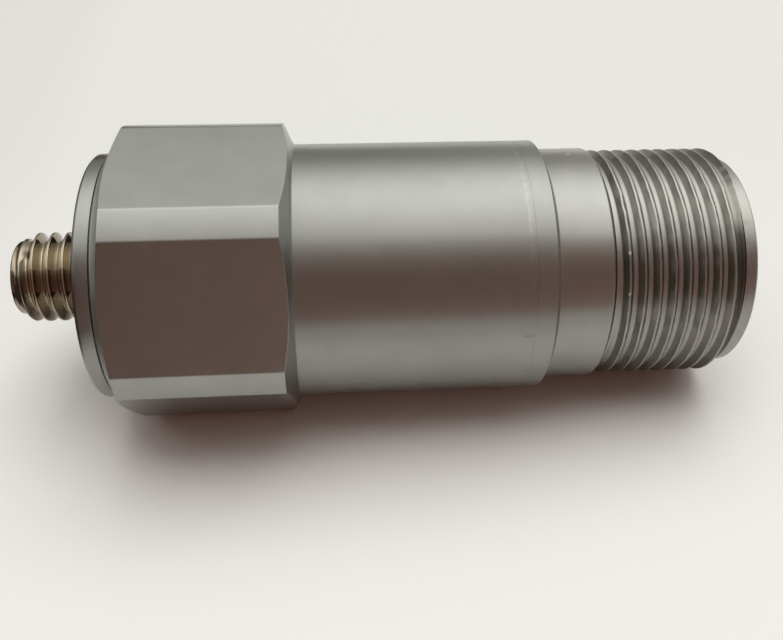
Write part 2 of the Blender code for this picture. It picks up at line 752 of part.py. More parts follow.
def build():
    for leftover in list(bpy.data.objects):
        bpy.data.objects.remove(leftover, do_unlink=True)
    frame = bpy.data.objects.new("sensor_frame", None)
    bpy.context.scene.collection.objects.link(frame)
    frame.location = (-CENTRE, 0, HEX_HALF)
    satin = material("satin_steel", (0.42, 0.41, 0.38), 0.38, 1.0)
    turned = material("turned_steel", (0.34, 0.33, 0.31), 0.3, 1.0)
    bright = material("bright_steel", (0.62, 0.58, 0.52), 0.2, 1.0)
    inner = material("inner_steel", (0.5, 0.5, 0.5), 0.35, 1.0)
    tin = material("tinned_steel", (0.65, 0.65, 0.62), 0.3, 1.0)
    tungsten = material("tungsten", (0.25, 0.25, 0.27), 0.45, 1.0)
    gold = material("gold_plate", (0.83, 0.6, 0.25), 0.25, 1.0)
    silver = material("silver_foil", (0.8, 0.8, 0.78), 0.2, 1.0)
    ceramic = material("alumina", (0.85, 0.84, 0.8), 0.5, 0.0)
    piezo = material("piezo_ceramic", (0.62, 0.55, 0.42), 0.6, 0.0)
    polymer = material("amber_polymer", (0.65, 0.4, 0.12), 0.4, 0.0)
    plastic = material("black_plastic", (0.03, 0.03, 0.035), 0.45, 0.0)
    rubber = material("black_rubber", (0.02, 0.02, 0.02), 0.8, 0.0)
    laminate = material("green_laminate", (0.03, 0.2, 0.08), 0.4, 0.0)
    tan = material("tan_resin", (0.7, 0.5, 0.15), 0.5, 0.0)
    white = material("white_lead", (0.8, 0.8, 0.78), 0.5, 0.0)
    red = material("red_lead", (0.5, 0.04, 0.03), 0.5, 0.0)
    mounting_stud(bright, frame)
    housing(satin, frame)
    connector_shell(turned, frame)
    isolation(ceramic, polymer, tin, frame)
    sensing_element(inner, piezo, silver, tungsten, frame)
    amplifier(laminate, plastic, tan, inner, frame)
    leads(white, red, frame)
    connector_contacts(plastic, rubber, inner, gold, frame)
    bpy.context.view_layer.update()


build()
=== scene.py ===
"""Looks of the vibration sensor: finely turned steel, cut threads, and a plain studio floor.

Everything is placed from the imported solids. The sensor's axis runs along +X, half the hexagon's
width above the ground. A station is a place along that axis, counted from the mounting pad's
face. Angles round the axis start at +Y and turn towards +Z.
"""

import json
import math

import bmesh
import bpy
import numpy as np
from mathutils import Matrix, Vector


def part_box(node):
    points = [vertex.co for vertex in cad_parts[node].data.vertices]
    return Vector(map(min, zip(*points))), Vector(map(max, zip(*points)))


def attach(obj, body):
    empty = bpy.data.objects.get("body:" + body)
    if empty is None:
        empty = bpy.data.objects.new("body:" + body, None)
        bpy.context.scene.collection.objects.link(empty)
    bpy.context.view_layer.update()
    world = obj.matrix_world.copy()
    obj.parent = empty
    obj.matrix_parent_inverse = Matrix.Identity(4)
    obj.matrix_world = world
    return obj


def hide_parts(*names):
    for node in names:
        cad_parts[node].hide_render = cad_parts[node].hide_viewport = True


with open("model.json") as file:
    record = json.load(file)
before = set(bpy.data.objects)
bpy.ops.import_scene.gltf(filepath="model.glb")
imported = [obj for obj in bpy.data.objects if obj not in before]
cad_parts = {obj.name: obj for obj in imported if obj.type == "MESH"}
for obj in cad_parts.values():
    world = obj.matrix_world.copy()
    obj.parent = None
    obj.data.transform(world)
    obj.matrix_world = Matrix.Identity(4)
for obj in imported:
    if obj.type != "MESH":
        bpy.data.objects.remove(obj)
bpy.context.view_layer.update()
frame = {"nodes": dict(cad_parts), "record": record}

MM = 0.001

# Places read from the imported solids
PAD_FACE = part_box("housing")[0].x
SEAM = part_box("housing")[1].x - PAD_FACE
STUD_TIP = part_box("mounting_stud")[0].x - PAD_FACE
STUD_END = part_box("mounting_stud")[1].x - PAD_FACE
SHELL_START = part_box("connector_shell")[0].x - PAD_FACE
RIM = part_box("connector_shell")[1].x - PAD_FACE
HEX_HALF = (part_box("housing")[1].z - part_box("housing")[0].z) / 2
AXIS_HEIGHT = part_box("housing")[0].z + HEX_HALF

# Camera, fitted to the photograph
CAMERA_PLACE = (-3.969 * MM, -55.523 * MM, 65.038 * MM)
CAMERA_TURN = (math.radians(46.1566), math.radians(-1.9191), math.radians(-4.3678))
LENS = 38.5336
SENSOR_WIDTH = 36
SHIFT = (-0.009793, -0.062427)
NEAREST_SEEN = MM
FURTHEST_SEEN = 10

# Smoothness of the meshes
ROUND_SEGMENTS = 288
STUD_SEGMENTS = 144
INSERT_SEGMENTS = 144
RING_SEGMENTS = 192
PIN_SEGMENTS = 64
CONE_ROWS = 44
CORNER_STEPS = 4
KEY_STEPS = 3
SHARP_ANGLE = math.radians(35)
MERGE_DISTANCE = 1e-7

# Mounting pad, hexagon and tube
PAD_RADIUS = 10.75 * MM
PAD_CHAMFER = 0.25 * MM
PAD_THICKNESS = 1.3 * MM
HOUSING_EDGE = 0.06 * MM
GROOVE_END = 1.5 * MM
GROOVE_RADIUS = 10.45 * MM
GROOVE_EDGE = 0.03 * MM
LAND_RADIUS = 13.156 * MM
FRONT_FACE_RADIUS = 11.0 * MM
FRONT_CONE_START = 1.93 * MM
FRONT_CONE_FOOT = 11.36 * MM
FRONT_CONE_END = 2.6 * MM
REAR_CONE_START = 16.1 * MM
REAR_CONE_END = 16.75 * MM
REAR_CONE_FOOT = 11.66 * MM
FLAT_EDGE = 0.05 * MM
BODY_RADIUS = 11.3 * MM
BODY_FILLET = 0.25 * MM
BORE_RADIUS = 10.0 * MM
BORE_FLOOR = 7.9 * MM
BORE_FILLET = 0.3 * MM
SPIGOT_BORE_RADIUS = 10.3 * MM
SPIGOT_DEPTH = 1.8 * MM
HOLE_RADIUS = 4.25 * MM
HOLE_DEPTH = 5.8 * MM
HOLE_POINT = 0.9 * MM
HOLE_COUNTERSINK = 0.4 * MM

# Columns of the hexagon's mesh: their distances from an edge, and the step of the rest in degrees
EDGE_COLUMNS = (0.05 * MM, 0.11 * MM, 0.2 * MM, 0.35 * MM)
COLUMN_STEP = 1.25
COLUMN_GAP = 0.004

# Weld between tube and flange
SEAM_PLACE = 36.41 * MM
SEAM_GAP = 0.004 * MM
SEAM_EDGE = 0.012 * MM
WELD_LINES = (35.97 * MM, 36.47 * MM)
WELD_OFFSETS = np.linspace(-2, 2, 9) * 0.07 * MM

# Connector shell, from its spigot to its rim, and its socket
SHELL_EDGE = 0.05 * MM
SPIGOT_RADIUS = 10.0 * MM
SPIGOT_INNER_RADIUS = 7.6 * MM
FLANGE_END = 38.05 * MM
FLANGE_EDGE = 0.02 * MM
FOOT_RADIUS = 10.36 * MM
FOOT_END = 38.28 * MM
FOOT_SLOPE = 0.2 * MM
NECK_RADIUS = 10.52 * MM
NECK_END = 42.85 * MM
SMALL_STEP_END = 43.05 * MM
CREST_RADIUS = 10.32 * MM
UNDERCUT_RADIUS = 9.54 * MM
RELIEF_RADIUS = 9.1 * MM
RELIEF_EDGE = 0.08 * MM
RELIEF_END = 54.4 * MM
PILOT_RADIUS = 9.46 * MM
PILOT_CHAMFER = 0.15 * MM
SOCKET_RADIUS = 7.61 * MM
SOCKET_FLOOR = 47.05 * MM
SOCKET_LIP = 0.1 * MM
INNER_BORE_RADIUS = 6.61 * MM
KEY_WIDTH = 1.6 * MM
KEY_HEIGHT = 0.9 * MM
KEY_START = 51.25 * MM
KEY_END = 54.85 * MM
KEY_ROOT = 0.3 * MM
KEY_EDGE = 0.12 * MM

# Connector thread. A form is (share of the pitch from the crest's middle, height from 0 to 1).
THREAD_START = 43.35 * MM
THREAD_END = 54.24 * MM
THREAD_PITCH = 1.27 * MM
THREAD_CREST_STATION = 45.04 * MM
THREAD_ROOT = 9.764 * MM
THREAD_FADES = (THREAD_PITCH / 3, THREAD_PITCH / 12)
THREAD_FORM = (
    (-0.5, -0.04),
    (-0.42, -0.03),
    (-0.345, 0.01),
    (-0.31, 0.06),
    (-0.09, 0.9),
    (-0.065, 0.98),
    (-0.04, 1.0),
    (0.0, 0.994),
    (0.04, 1.0),
    (0.065, 0.98),
    (0.09, 0.9),
    (0.31, 0.06),
    (0.345, 0.01),
    (0.42, -0.03),
)

# The groove behind the last turn, and the side where the thread runs out in it
LAST_GROOVE_START = 53.5 * MM
LAST_GROOVE_RADIUS = 9.95 * MM
RUNOUT_RADIUS = 9.7 * MM
RUNOUT_ANGLE = math.radians(60)
RUNOUT_REACH = (math.radians(66), math.radians(52))

# Wear of the connector's crests. A wave is (height in millimetres, spread in corners, seed).
CREST_BURRS = ((0.03, 2, 1), (0.014, 7, 2))
CREST_LEANS = ((0.06, 2, 3), (0.045, 8, 4))
CREST_LOSS = 0.012 * MM
CHIP_DEPTH = 0.12 * MM
CHIP_SPREAD = 3
CHIP_SEED = 7

# Mounting stud, its thread and the thread's wear
STUD_RADIUS = 3.95 * MM
STUD_ROOT = 3.23 * MM
STUD_PITCH = 1.25 * MM
STUD_CREST_STATION = -4.47 * MM
STUD_EDGE = 0.05 * MM
STUD_TIP_RADIUS = 3.1 * MM
STUD_TIP_CHAMFER = 0.14 * MM
STUD_FADES = (1.25 * MM, STUD_PITCH / 4)
STUD_SHANK_CHAMFER = 0.8 * MM
STUD_SOCKET_RADIUS = 2.3 * MM
STUD_SOCKET_DEPTH = 2.5 * MM
STUD_SOCKET_SIDES = 6
STUD_COUNTERSINK = 0.15 * MM
STUD_BURRS = ((0.006, 6, 5),)
STUD_LEANS = ((0.006, 9, 6),)
STUD_LOSS = 0.004 * MM
STUD_FORM = (
    (-0.47, 0.02),
    (-0.38, 0.12),
    (-0.15, 0.76),
    (-0.11, 0.88),
    (-0.075, 0.96),
    (0.0, 1.0),
    (0.075, 0.96),
    (0.11, 0.88),
    (0.15, 0.76),
    (0.38, 0.12),
    (0.47, 0.02),
    (0.5, 0.0),
)

# Connector insert and its retaining ring
BOSS_GAP = 0.02 * MM
BOSS_EDGE = 0.25 * MM
INSERT_EDGE = 0.12 * MM
RECESS_DEPTH = 0.4 * MM
RECESS_RADII = (6.2 * MM, 5.5 * MM)
RECESS_SLOPE = 0.1 * MM
RECESS_EDGE = 0.1 * MM
RECESS_RIM = 0.06 * MM
RING_GAP = 1.4 * MM
RING_WIDTH = 1.2 * MM
RING_EDGE = 0.12 * MM

# Contact pins: seat, solder cup, shoulder at the insert's face, and nose. Shares are of the radius.
PIN_SEAT_RADIUS = 1.2 * MM
PIN_SEAT_DEPTH = 0.35 * MM
PIN_SEAT_SLOPE = 0.1 * MM
PIN_SEAT_EDGE = 0.08 * MM
CUP_DEPTHS = (0.9 * MM, 0.7 * MM)
CUP_SHARES = (0.45, 0.6)
CUP_EDGES = (0.04 * MM, 0.08 * MM)
SHOULDER_BEFORE = 0.1 * MM
SHOULDER_BEYOND = 0.15 * MM
SHOULDER_EDGE = 0.05 * MM
SHAFT_SHARE = 0.86
NOSE_LENGTHS = (0.7, 0.15)
NOSE_SHARES = (0.5, 0.2)
NOSE_EDGES = (0.2 * MM, 0.15 * MM, 0.04 * MM)

# Steel. Marks are counted per millimetre along X, Y and Z.
TORN_SLOPE = -0.5  # a face that leans further than this towards the stud is rough
FINE_MARKS = (9, 0.5, 0.5)
CUT_MARKS = (5, 1.2, 1.2)
STEEL_PATCHES = (0.3, 0.3, 0.3)
STEEL_SHADES = (0.95, 1.04)
ROUND_THE_AXIS = 0.25
NOISE_MIDDLE = (0.25, 0.75)
GRAIN_HEIGHT = 0.002 * MM
GRAIN_GLOSS = (0.85, 1.15)

# Marks of the ground weld, lighter only on the tube's upper half as painted sheen: heights where they come
# in, and the blots that break them up
WELD_MARK_REACH = (0.26 * MM, 0.03 * MM)
WELD_SHEEN_HEIGHTS = (17 * MM, 21 * MM)
WELD_MARK_STRENGTH = 0.7
WELD_BLOTS = (1.6, 1.1, 1.1)
WELD_BLOT_RANGE = (0.4, 0.68)
WELD_BLOT_LEAST = 0.1
WELD_SHEEN_COLOUR = (0.37, 0.37, 0.355)

# Painted shade in the last groove: a darker tone below these heights over the axis
GROOVE_SHADE_HEIGHTS = (9 * MM, 7.8 * MM)
GROOVE_PAINTED_SHADE = (0.085, 0.076, 0.07)

# Small stains, a dark spot, painted glints and painted shadow: finish, station, degrees round the axis,
# radius, size and colour
SPOT_CORE = 0.3
SPOT_STRENGTH = 0.8
RUST = (0.235, 0.21, 0.185)
DARK_SPOT_TONE = (0.06, 0.055, 0.05)
BURR_GLINT = (0.85, 0.85, 0.83)
SPOTS = (
    ("satin", 35.55 * MM, 168, BODY_RADIUS, 0.2 * MM, RUST),
    ("satin", 35.8 * MM, 168, BODY_RADIUS, 0.24 * MM, RUST),
    ("satin", 36.1 * MM, 168, BODY_RADIUS, 0.2 * MM, RUST),
    # A painted glint on the neck.
    ("turned", 40.97 * MM, 72, NECK_RADIUS, 0.2 * MM, (0.9, 0.9, 0.88)),
    # A dark spot on the thread's first crest.
    ("cut", 43.8 * MM, 66, CREST_RADIUS, 0.4 * MM, DARK_SPOT_TONE),
    # Painted glints on burrs of the thread's crests.
    ("cut", 44.27 * MM, 133, CREST_RADIUS, 0.22 * MM, BURR_GLINT),
    ("torn_and_shaded", 44.27 * MM, 133, CREST_RADIUS, 0.22 * MM, BURR_GLINT),
    ("cut", 44.25 * MM, 152, CREST_RADIUS, 0.22 * MM, BURR_GLINT),
    ("torn_and_shaded", 44.25 * MM, 152, CREST_RADIUS, 0.22 * MM, BURR_GLINT),
    # Painted shadow in the stud's first groove.
    ("bright", -5.85 * MM, 99, STUD_ROOT, 0.75 * MM, (0.015, 0.012, 0.01)),
)

# Floor, which leans under the sensor from the hexagon's flat to the thread's end
FLOOR_SIZE = 3.0
FLOOR_LEAN = math.radians(-2.56)
HEX_REAR_EDGE_X = -7.56 * MM
# Floor's tone, with painted shade that darkens it from near to far
FLOOR_NEAR = (0.9, 0.895, 0.885)
FLOOR_FAR_SHADED = (0.79, 0.8, 0.795)
FLOOR_FADE = (-40 * MM, 45 * MM)
FLOOR_ROUGHNESS = 0.6
FLOOR_SPECULAR = 0.2

# The studio's light, by direction. An angle runs from 0 towards the viewer, over 90 at the top, to
# 180 at the back. The steel shows the first ring, and the floor gets the second.
HALF_TURN = 180
SHOWN_RING = (
    (0, (0.2, 0.16, 0.14)),
    (60, (0.38, 0.34, 0.31)),
    (66, (1.03, 1.0, 0.96)),
    (92, (1.87, 1.88, 1.79)),
    (105, (2.13, 2.15, 2.07)),
    (120, (2.02, 2.05, 1.96)),
    (131, (1.7, 1.72, 1.64)),
    (145, (1.07, 1.08, 1.02)),
    (160, (0.56, 0.56, 0.52)),
    (180, (0.42, 0.42, 0.38)),
)
SHOWN_GAIN = ((-1.0, 0.8), (-0.3, 0.9), (0.0, 0.9), (0.3, 1.25), (0.55, 1.1), (1.0, 0.6))
FLOOR_RING = (
    (0, (0.2, 0.065, 0.045)),
    (50, (0.2, 0.08, 0.06)),
    (66, (0.3, 0.25, 0.22)),
    (82, (1.15, 1.15, 1.1)),
    (118, (1.15, 1.15, 1.1)),
    (140, (0.2, 0.2, 0.19)),
    (180, (0.1, 0.1, 0.09)),
)
FLOOR_REACH = (0.5, 0.95)
FLOOR_LEAST = 0.1
PALE = (0.86, 0.85, 0.83)

# Card on the viewer's side, and its darker end
CARD_RING = (
    (0, (0.4, 0.258, 0.222)),
    (15, (0.345, 0.22, 0.188)),
    (36, (0.305, 0.202, 0.174)),
    (50, (0.395, 0.295, 0.26)),
    (60, (0.6, 0.53, 0.485)),
    (66, (0.8, 0.735, 0.68)),
)
CARD_LOWEST = -6
CARD_STEP = 3
CARD_DARK_END = (-0.28, -0.12)
CARD_DARK_SHARE = 0.3
CARD_RADIUS = 0.45
CARD_HALF_LENGTH = 0.9

# Glowing sheet over the floor that only the steel reflects: painted reflection of shade, darkest beyond the
# stud
FLAG_LIFT = 1 * MM
FLAG_REACH = FLOOR_SIZE / 3
FLAG_SHADOW_END = (-46 * MM, -37 * MM)
FLAG_PAINTED_SHADOW = (0.06, 0.045, 0.038)
FLAG_FRONT = (-250 * MM, -40 * MM)
FLAG_FAR_PAINTED_SHADE = (0.45, 0.35, 0.31)
FLAG_NEAR_TONE = (0.72, 0.69, 0.66)

# Lamp
LAMP_WATTS = 2.13
LAMP_DISTANCE = 0.6
LAMP_ANGLE = math.radians(101)
LAMP_ASIDE = math.radians(4)
LAMP_SPREAD = math.radians(26)
LAMP_WIDTH = math.radians(20)
LAMP_COLOUR = (1.0, 1.0, 0.95)


def add_object(name, data):
    """A new object in the scene."""
    thing = bpy.data.objects.new(name, data)
    bpy.context.scene.collection.objects.link(thing)
    return thing


def add_piece(name, mesh, finish, slot, *replaced):
    """One piece of the sensor, carried by its body and standing for the named solids."""
    piece = add_object(name, mesh)
    mesh.materials.clear()
    mesh.materials.append(finish)
    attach(piece, "root")
    if replaced:
        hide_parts(*replaced)
    return piece


def finish_faces(mesh, steels, names, choose):
    """Adds the named finishes after the first, and gives each face the one that choose names."""
    for name in names[1:]:
        mesh.materials.append(steels[name])
    for face in mesh.polygons:
        station = face.center.x - PAD_FACE
        radius = math.hypot(face.center.y, face.center.z - AXIS_HEIGHT)
        face.material_index = names.index(choose(station, radius, face.normal.x))


def plain_mesh(name, shape):
    """A shape's mesh. The shape itself is let go."""
    mesh = bpy.data.meshes.new(name)
    shape.to_mesh(mesh)
    shape.free()
    return mesh


def close_mesh(name, shape):
    """Welds and shades a shape, and moves it from the sensor's axis to its place."""
    bmesh.ops.remove_doubles(shape, verts=shape.verts, dist=MERGE_DISTANCE)
    bmesh.ops.dissolve_degenerate(shape, edges=shape.edges, dist=MERGE_DISTANCE)
    bmesh.ops.recalc_face_normals(shape, faces=shape.faces)
    mesh = plain_mesh(name, shape)
    mesh.transform(Matrix.Translation((PAD_FACE, 0, AXIS_HEIGHT)))
    mesh.shade_smooth()
    mesh.set_sharp_from_angle(angle=SHARP_ANGLE)
    return mesh


def round_corners(outline):
    """Turns (station, radius, rounding) corners into points, with an arc where rounding isn't zero."""
    points = []
    for index, (station, radius, rounding) in enumerate(outline):
        corner = Vector((station, radius))
        if rounding == 0:
            points.append(tuple(corner))
            continue
        before = Vector(outline[index - 1][:2]) - corner
        after = Vector(outline[(index + 1) % len(outline)][:2]) - corner
        start = corner + before.normalized() * rounding
        end = corner + after.normalized() * rounding
        for step in range(CORNER_STEPS + 1):
            share = step / CORNER_STEPS
            place = start.lerp(corner, share).lerp(corner.lerp(end, share), share)
            points.append(tuple(place))
    return points


def even_angles(segments):
    return np.arange(segments) * math.tau / segments


def new_corners(shape, stations, radii, angles):
    """One row of mesh corners. What the whole row shares is a single number."""
    places = np.broadcast_arrays(stations, radii * np.cos(angles), radii * np.sin(angles))
    return [shape.verts.new(place) for place in zip(*places)]


def add_skin(shape, rows, angles):
    """Adds a skin through (station, radius or radii) rows, closed round the axis."""
    rings = [new_corners(shape, station, radii, angles) for station, radii in rows]
    count = len(angles)
    for left, right in zip(rings, rings[1:]):
        for column in range(count):
            after = (column + 1) % count
            shape.faces.new((left[column], right[column], right[after], left[after]))


def turned_mesh(name, outline, segments):
    """A closed outline of (station, radius, rounding) corners, turned round the axis."""
    shape = bmesh.new()
    points = round_corners(outline)
    add_skin(shape, points + points[:1], even_angles(segments))
    return close_mesh(name, shape)


def block_mesh(name, low, high, rounding):
    """A block with slightly rounded edges, given by its lowest and highest corners."""
    shape = bmesh.new()
    bmesh.ops.create_cube(shape, size=1)
    size = Vector(high) - Vector(low)
    placing = Matrix.Translation((Vector(high) + Vector(low)) / 2) @ Matrix.Diagonal((*size, 1))
    bmesh.ops.transform(shape, matrix=placing, verts=shape.verts)
    if rounding:
        bmesh.ops.bevel(shape, geom=shape.edges, offset=rounding, segments=KEY_STEPS, affect="EDGES")
    return close_mesh(name, shape)


def off_axis(mesh, y, z):
    """Moves a mesh off the sensor's axis."""
    mesh.transform(Matrix.Translation((0, y, z)))
    return mesh


def cut_away(piece, tool_mesh):
    """Cuts a tool shape out of a piece and keeps only the result."""
    tool = add_object("tool", tool_mesh)
    step = piece.modifiers.new("cut", "BOOLEAN")
    step.operation = "DIFFERENCE"
    step.solver = "EXACT"
    step.object = tool
    bpy.context.view_layer.update()
    evaluated = piece.evaluated_get(bpy.context.evaluated_depsgraph_get())
    result = bpy.data.meshes.new_from_object(evaluated)
    piece.modifiers.clear()
    piece.data = result
    result.shade_smooth()
    result.set_sharp_from_angle(angle=SHARP_ANGLE)
    bpy.data.objects.remove(tool)


def hexagon_angles():
    """Angles round the axis: closely spaced at the twelve edges between flats and lands."""
    half_flat = math.acos(HEX_HALF / LAND_RADIUS)
    near_edge = np.array(EDGE_COLUMNS) / LAND_RADIUS
    edges = np.concatenate([half_flat - near_edge, [half_flat], half_flat + near_edge])
    plain = np.radians(np.arange(0, 30, COLUMN_STEP))
    clear = [angle for angle in plain if abs(angle - half_flat) > near_edge[-1] + COLUMN_GAP]
    half = np.sort(np.concatenate([clear, edges]))
    sector = np.concatenate([-half[:0:-1], half, [math.radians(30)]])
    flats = [math.radians(90 + 60 * number) for number in range(6)]
    return np.concatenate([flat + sector for flat in flats])


def flat_radius(angles):
    """How far out the hexagon's flats lie in each direction."""
    from_flat = (angles - math.pi / 2 + math.pi / 6) % (math.pi / 3) - math.pi / 6
    return HEX_HALF / np.cos(from_flat)


def lower_of(first, second, softness):
    """The lower of two heights, with the edge where they meet rounded off."""
    overlap = np.maximum(softness - np.abs(first - second), 0) / softness
    return np.minimum(first, second) - overlap**2 * softness / 4


def steps_between(start, end):
    """(station, radius) points along a straight cone, without its last point."""
    shares = np.arange(CONE_ROWS) / CONE_ROWS
    return [tuple(Vector(start).lerp(Vector(end), share)) for share in shares]


def weld_rows(start, end):
    """Plain rings beside the weld, which keep the shading of its seam narrow."""
    rows = [line + offset for line in WELD_LINES for offset in WELD_OFFSETS]
    return [(float(row), BODY_RADIUS, 0) for row in rows if start < row < end]


def housing_finish(station, radius, lean):
    """The finish of a place on the housing."""
    if PAD_THICKNESS < station < FRONT_CONE_END and lean < TORN_SLOPE and radius > BORE_RADIUS:
        return "dull"
    if FRONT_CONE_START < station < REAR_CONE_END and radius > BODY_RADIUS + FLAT_EDGE:
        return "milled"
    return "satin"


def housing(steels):
    """Pad, groove, hexagon and tube, with the tapped hole and the bore inside."""
    edge = HOUSING_EDGE
    seam = SEAM_PLACE - SEAM_GAP / 2
    front = [
        (HOLE_DEPTH + HOLE_POINT, 0, 0),
        (HOLE_DEPTH, HOLE_RADIUS, 0),
        (HOLE_COUNTERSINK, HOLE_RADIUS, 0),
        (0, HOLE_RADIUS + HOLE_COUNTERSINK, edge),
        (0, PAD_RADIUS - PAD_CHAMFER, edge),
        (PAD_CHAMFER, PAD_RADIUS, edge),
        (PAD_THICKNESS, PAD_RADIUS, edge),
        (PAD_THICKNESS, GROOVE_RADIUS, GROOVE_EDGE),
        (GROOVE_END, GROOVE_RADIUS, GROOVE_EDGE),
        (GROOVE_END, FRONT_FACE_RADIUS, edge),
        (FRONT_CONE_START, FRONT_CONE_FOOT, 0),
    ]
    hexagon = [
        (FRONT_CONE_START, FRONT_CONE_FOOT),
        (FRONT_CONE_END, LAND_RADIUS),
        (REAR_CONE_START, LAND_RADIUS),
        (REAR_CONE_END, REAR_CONE_FOOT),
    ]
    rear = [
        (REAR_CONE_END, BODY_RADIUS, BODY_FILLET),
        *weld_rows(REAR_CONE_END + BODY_FILLET, seam - 2 * SEAM_EDGE),
        (seam, BODY_RADIUS, SEAM_EDGE),
        (seam, SPIGOT_BORE_RADIUS + edge, 0),
    ]
    inside = [
        (SEAM, SPIGOT_BORE_RADIUS, 0),
        (SEAM - SPIGOT_DEPTH, SPIGOT_BORE_RADIUS, 0),
        (SEAM - SPIGOT_DEPTH, BORE_RADIUS, 0),
        (BORE_FLOOR, BORE_RADIUS, BORE_FILLET),
        (BORE_FLOOR, 0, 0),
    ]
    points = round_corners(front)
    for start, end in zip(hexagon, hexagon[1:]):
        points += steps_between(start, end)
    points += [hexagon[-1]] + round_corners(rear) + round_corners(inside)
    angles = hexagon_angles()
    flats = flat_radius(angles)
    rows = []
    for station, radius in points + points[:1]:
        on_hexagon = GROOVE_END < station < REAR_CONE_END + BODY_FILLET and radius > BODY_RADIUS
        rows.append((station, lower_of(radius, flats, FLAT_EDGE) if on_hexagon else radius))
    shape = bmesh.new()
    add_skin(shape, rows, angles)
    mesh = close_mesh("housing_steel", shape)
    add_piece("housing_steel", mesh, steels["satin"], "satin_steel", "housing")
    finish_faces(mesh, steels, ("satin", "milled", "dull"), housing_finish)


def ragged(count, spread, seed):
    """A closed row of smooth random values round the axis, between about -1 and 1."""
    noise = np.random.default_rng(seed).normal(size=count)
    reach = np.arange(-3 * spread, 3 * spread + 1)
    weights = np.exp(-((reach / spread) ** 2))
    padded = np.concatenate([noise[-3 * spread:], noise, noise[:3 * spread]])
    smoothed = np.convolve(padded, weights / weights.sum(), mode="valid")
    return smoothed / np.abs(smoothed).max()


def waves(count, parts):
    """The sum of several ragged rows, in metres."""
    return MM * sum(height * ragged(count, spread, seed) for height, spread, seed in parts)


def connector_wear(count, heights):
    """Burrs and small dents: the crests are ragged, the flanks and roots almost clean."""
    on_crest = np.maximum(heights, 0) ** 3
    chips = CHIP_DEPTH * np.maximum(ragged(count, CHIP_SPREAD, CHIP_SEED), 0) ** 4
    radial = waves(count, CREST_BURRS) - chips
    axial = waves(count, CREST_LEANS)
    return radial[:, None] * on_crest - CREST_LOSS * on_crest, axial[:, None] * on_crest


def stud_wear(count, heights):
    """A rolled thread is nearly even: its crests waver a little."""
    radial = waves(count, STUD_BURRS)
    axial = waves(count, STUD_LEANS)
    return radial[:, None] * heights - STUD_LOSS * heights, axial[:, None] * heights


def gentle(share):
    """A share, held between 0 and 1, that starts and ends softly."""
    share = np.clip(share, 0, 1)
    return share**2 * (3 - 2 * share)


def thread_rows(form, start, end, pitch, crest_station, root, crest, fades, segments, wear):
    """A right-hand thread as rows of corners along the helix.

    The corners past either end are held on the end's plane, where close_mesh welds them into one
    plain ring.
    """
    shares = np.array([share for share, height in form])
    heights = np.array([height for share, height in form])
    first = math.floor((start - crest_station) / pitch) - 1
    last = math.ceil((end - crest_station) / pitch) + 1
    steps = np.arange((last - first) * segments + 1)
    angles = steps * math.tau / segments
    centres = crest_station + pitch * (first + steps / segments)
    stations = centres[:, None] + pitch * shares[None, :]
    radial, axial = wear(len(steps), heights)
    stations = np.clip(stations + axial, start, end)
    rise = gentle(np.minimum((stations - start) / fades[0], (end - stations) / fades[1]))
    radii = root + ((crest - root) * heights[None, :] + radial) * rise
    return angles, stations, radii


def add_thread(shape, rows, segments):
    """Faces between neighbouring rows, and from the last corner of a turn to the next turn."""
    corners = [new_corners(shape, stations, radii, angle) for angle, stations, radii in zip(*rows)]
    for step in range(len(corners) - segments - 1):
        here = corners[step] + [corners[step + segments][0]]
        there = corners[step + 1] + [corners[step + 1 + segments][0]]
        for index in range(len(here) - 1):
            shape.faces.new((here[index], here[index + 1], there[index + 1], there[index]))
    for vertex in [vertex for vertex in shape.verts if not vertex.link_faces]:
        shape.verts.remove(vertex)


def with_runout(station, radius, angles):
    """Radii of a ring. Behind the thread they still fill the groove where the thread runs out."""
    if not THREAD_END < station < RELIEF_END + RELIEF_EDGE:
        return radius
    away = np.abs((angles - RUNOUT_ANGLE + math.pi) % math.tau - math.pi)
    filled = gentle((RUNOUT_REACH[0] - away) / (RUNOUT_REACH[0] - RUNOUT_REACH[1]))
    return radius + max(RUNOUT_RADIUS - radius, 0) * filled


def shell_finish(station, radius, lean):
    """The finish of a place on the connector shell."""
    if station < FLANGE_END:
        return "satin"
    if radius <= SOCKET_RADIUS + MM:
        return "turned"
    if station < FOOT_END + FOOT_SLOPE:
        return "dull"
    # The last groove's steel is darker as painted shade, and darker still towards the bottom.
    if LAST_GROOVE_START < station < RELIEF_END + RELIEF_EDGE and radius < LAST_GROOVE_RADIUS:
        return "groove_shade"
    # Faces leaning towards the stud get the rough torn finish, whose darker colour is also painted shade;
    # the undercut before the thread gets it as painted shade.
    if SMALL_STEP_END < station and (station < THREAD_START or lean < TORN_SLOPE):
        return "torn_and_shaded"
    return "cut" if station > SMALL_STEP_END else "turned"


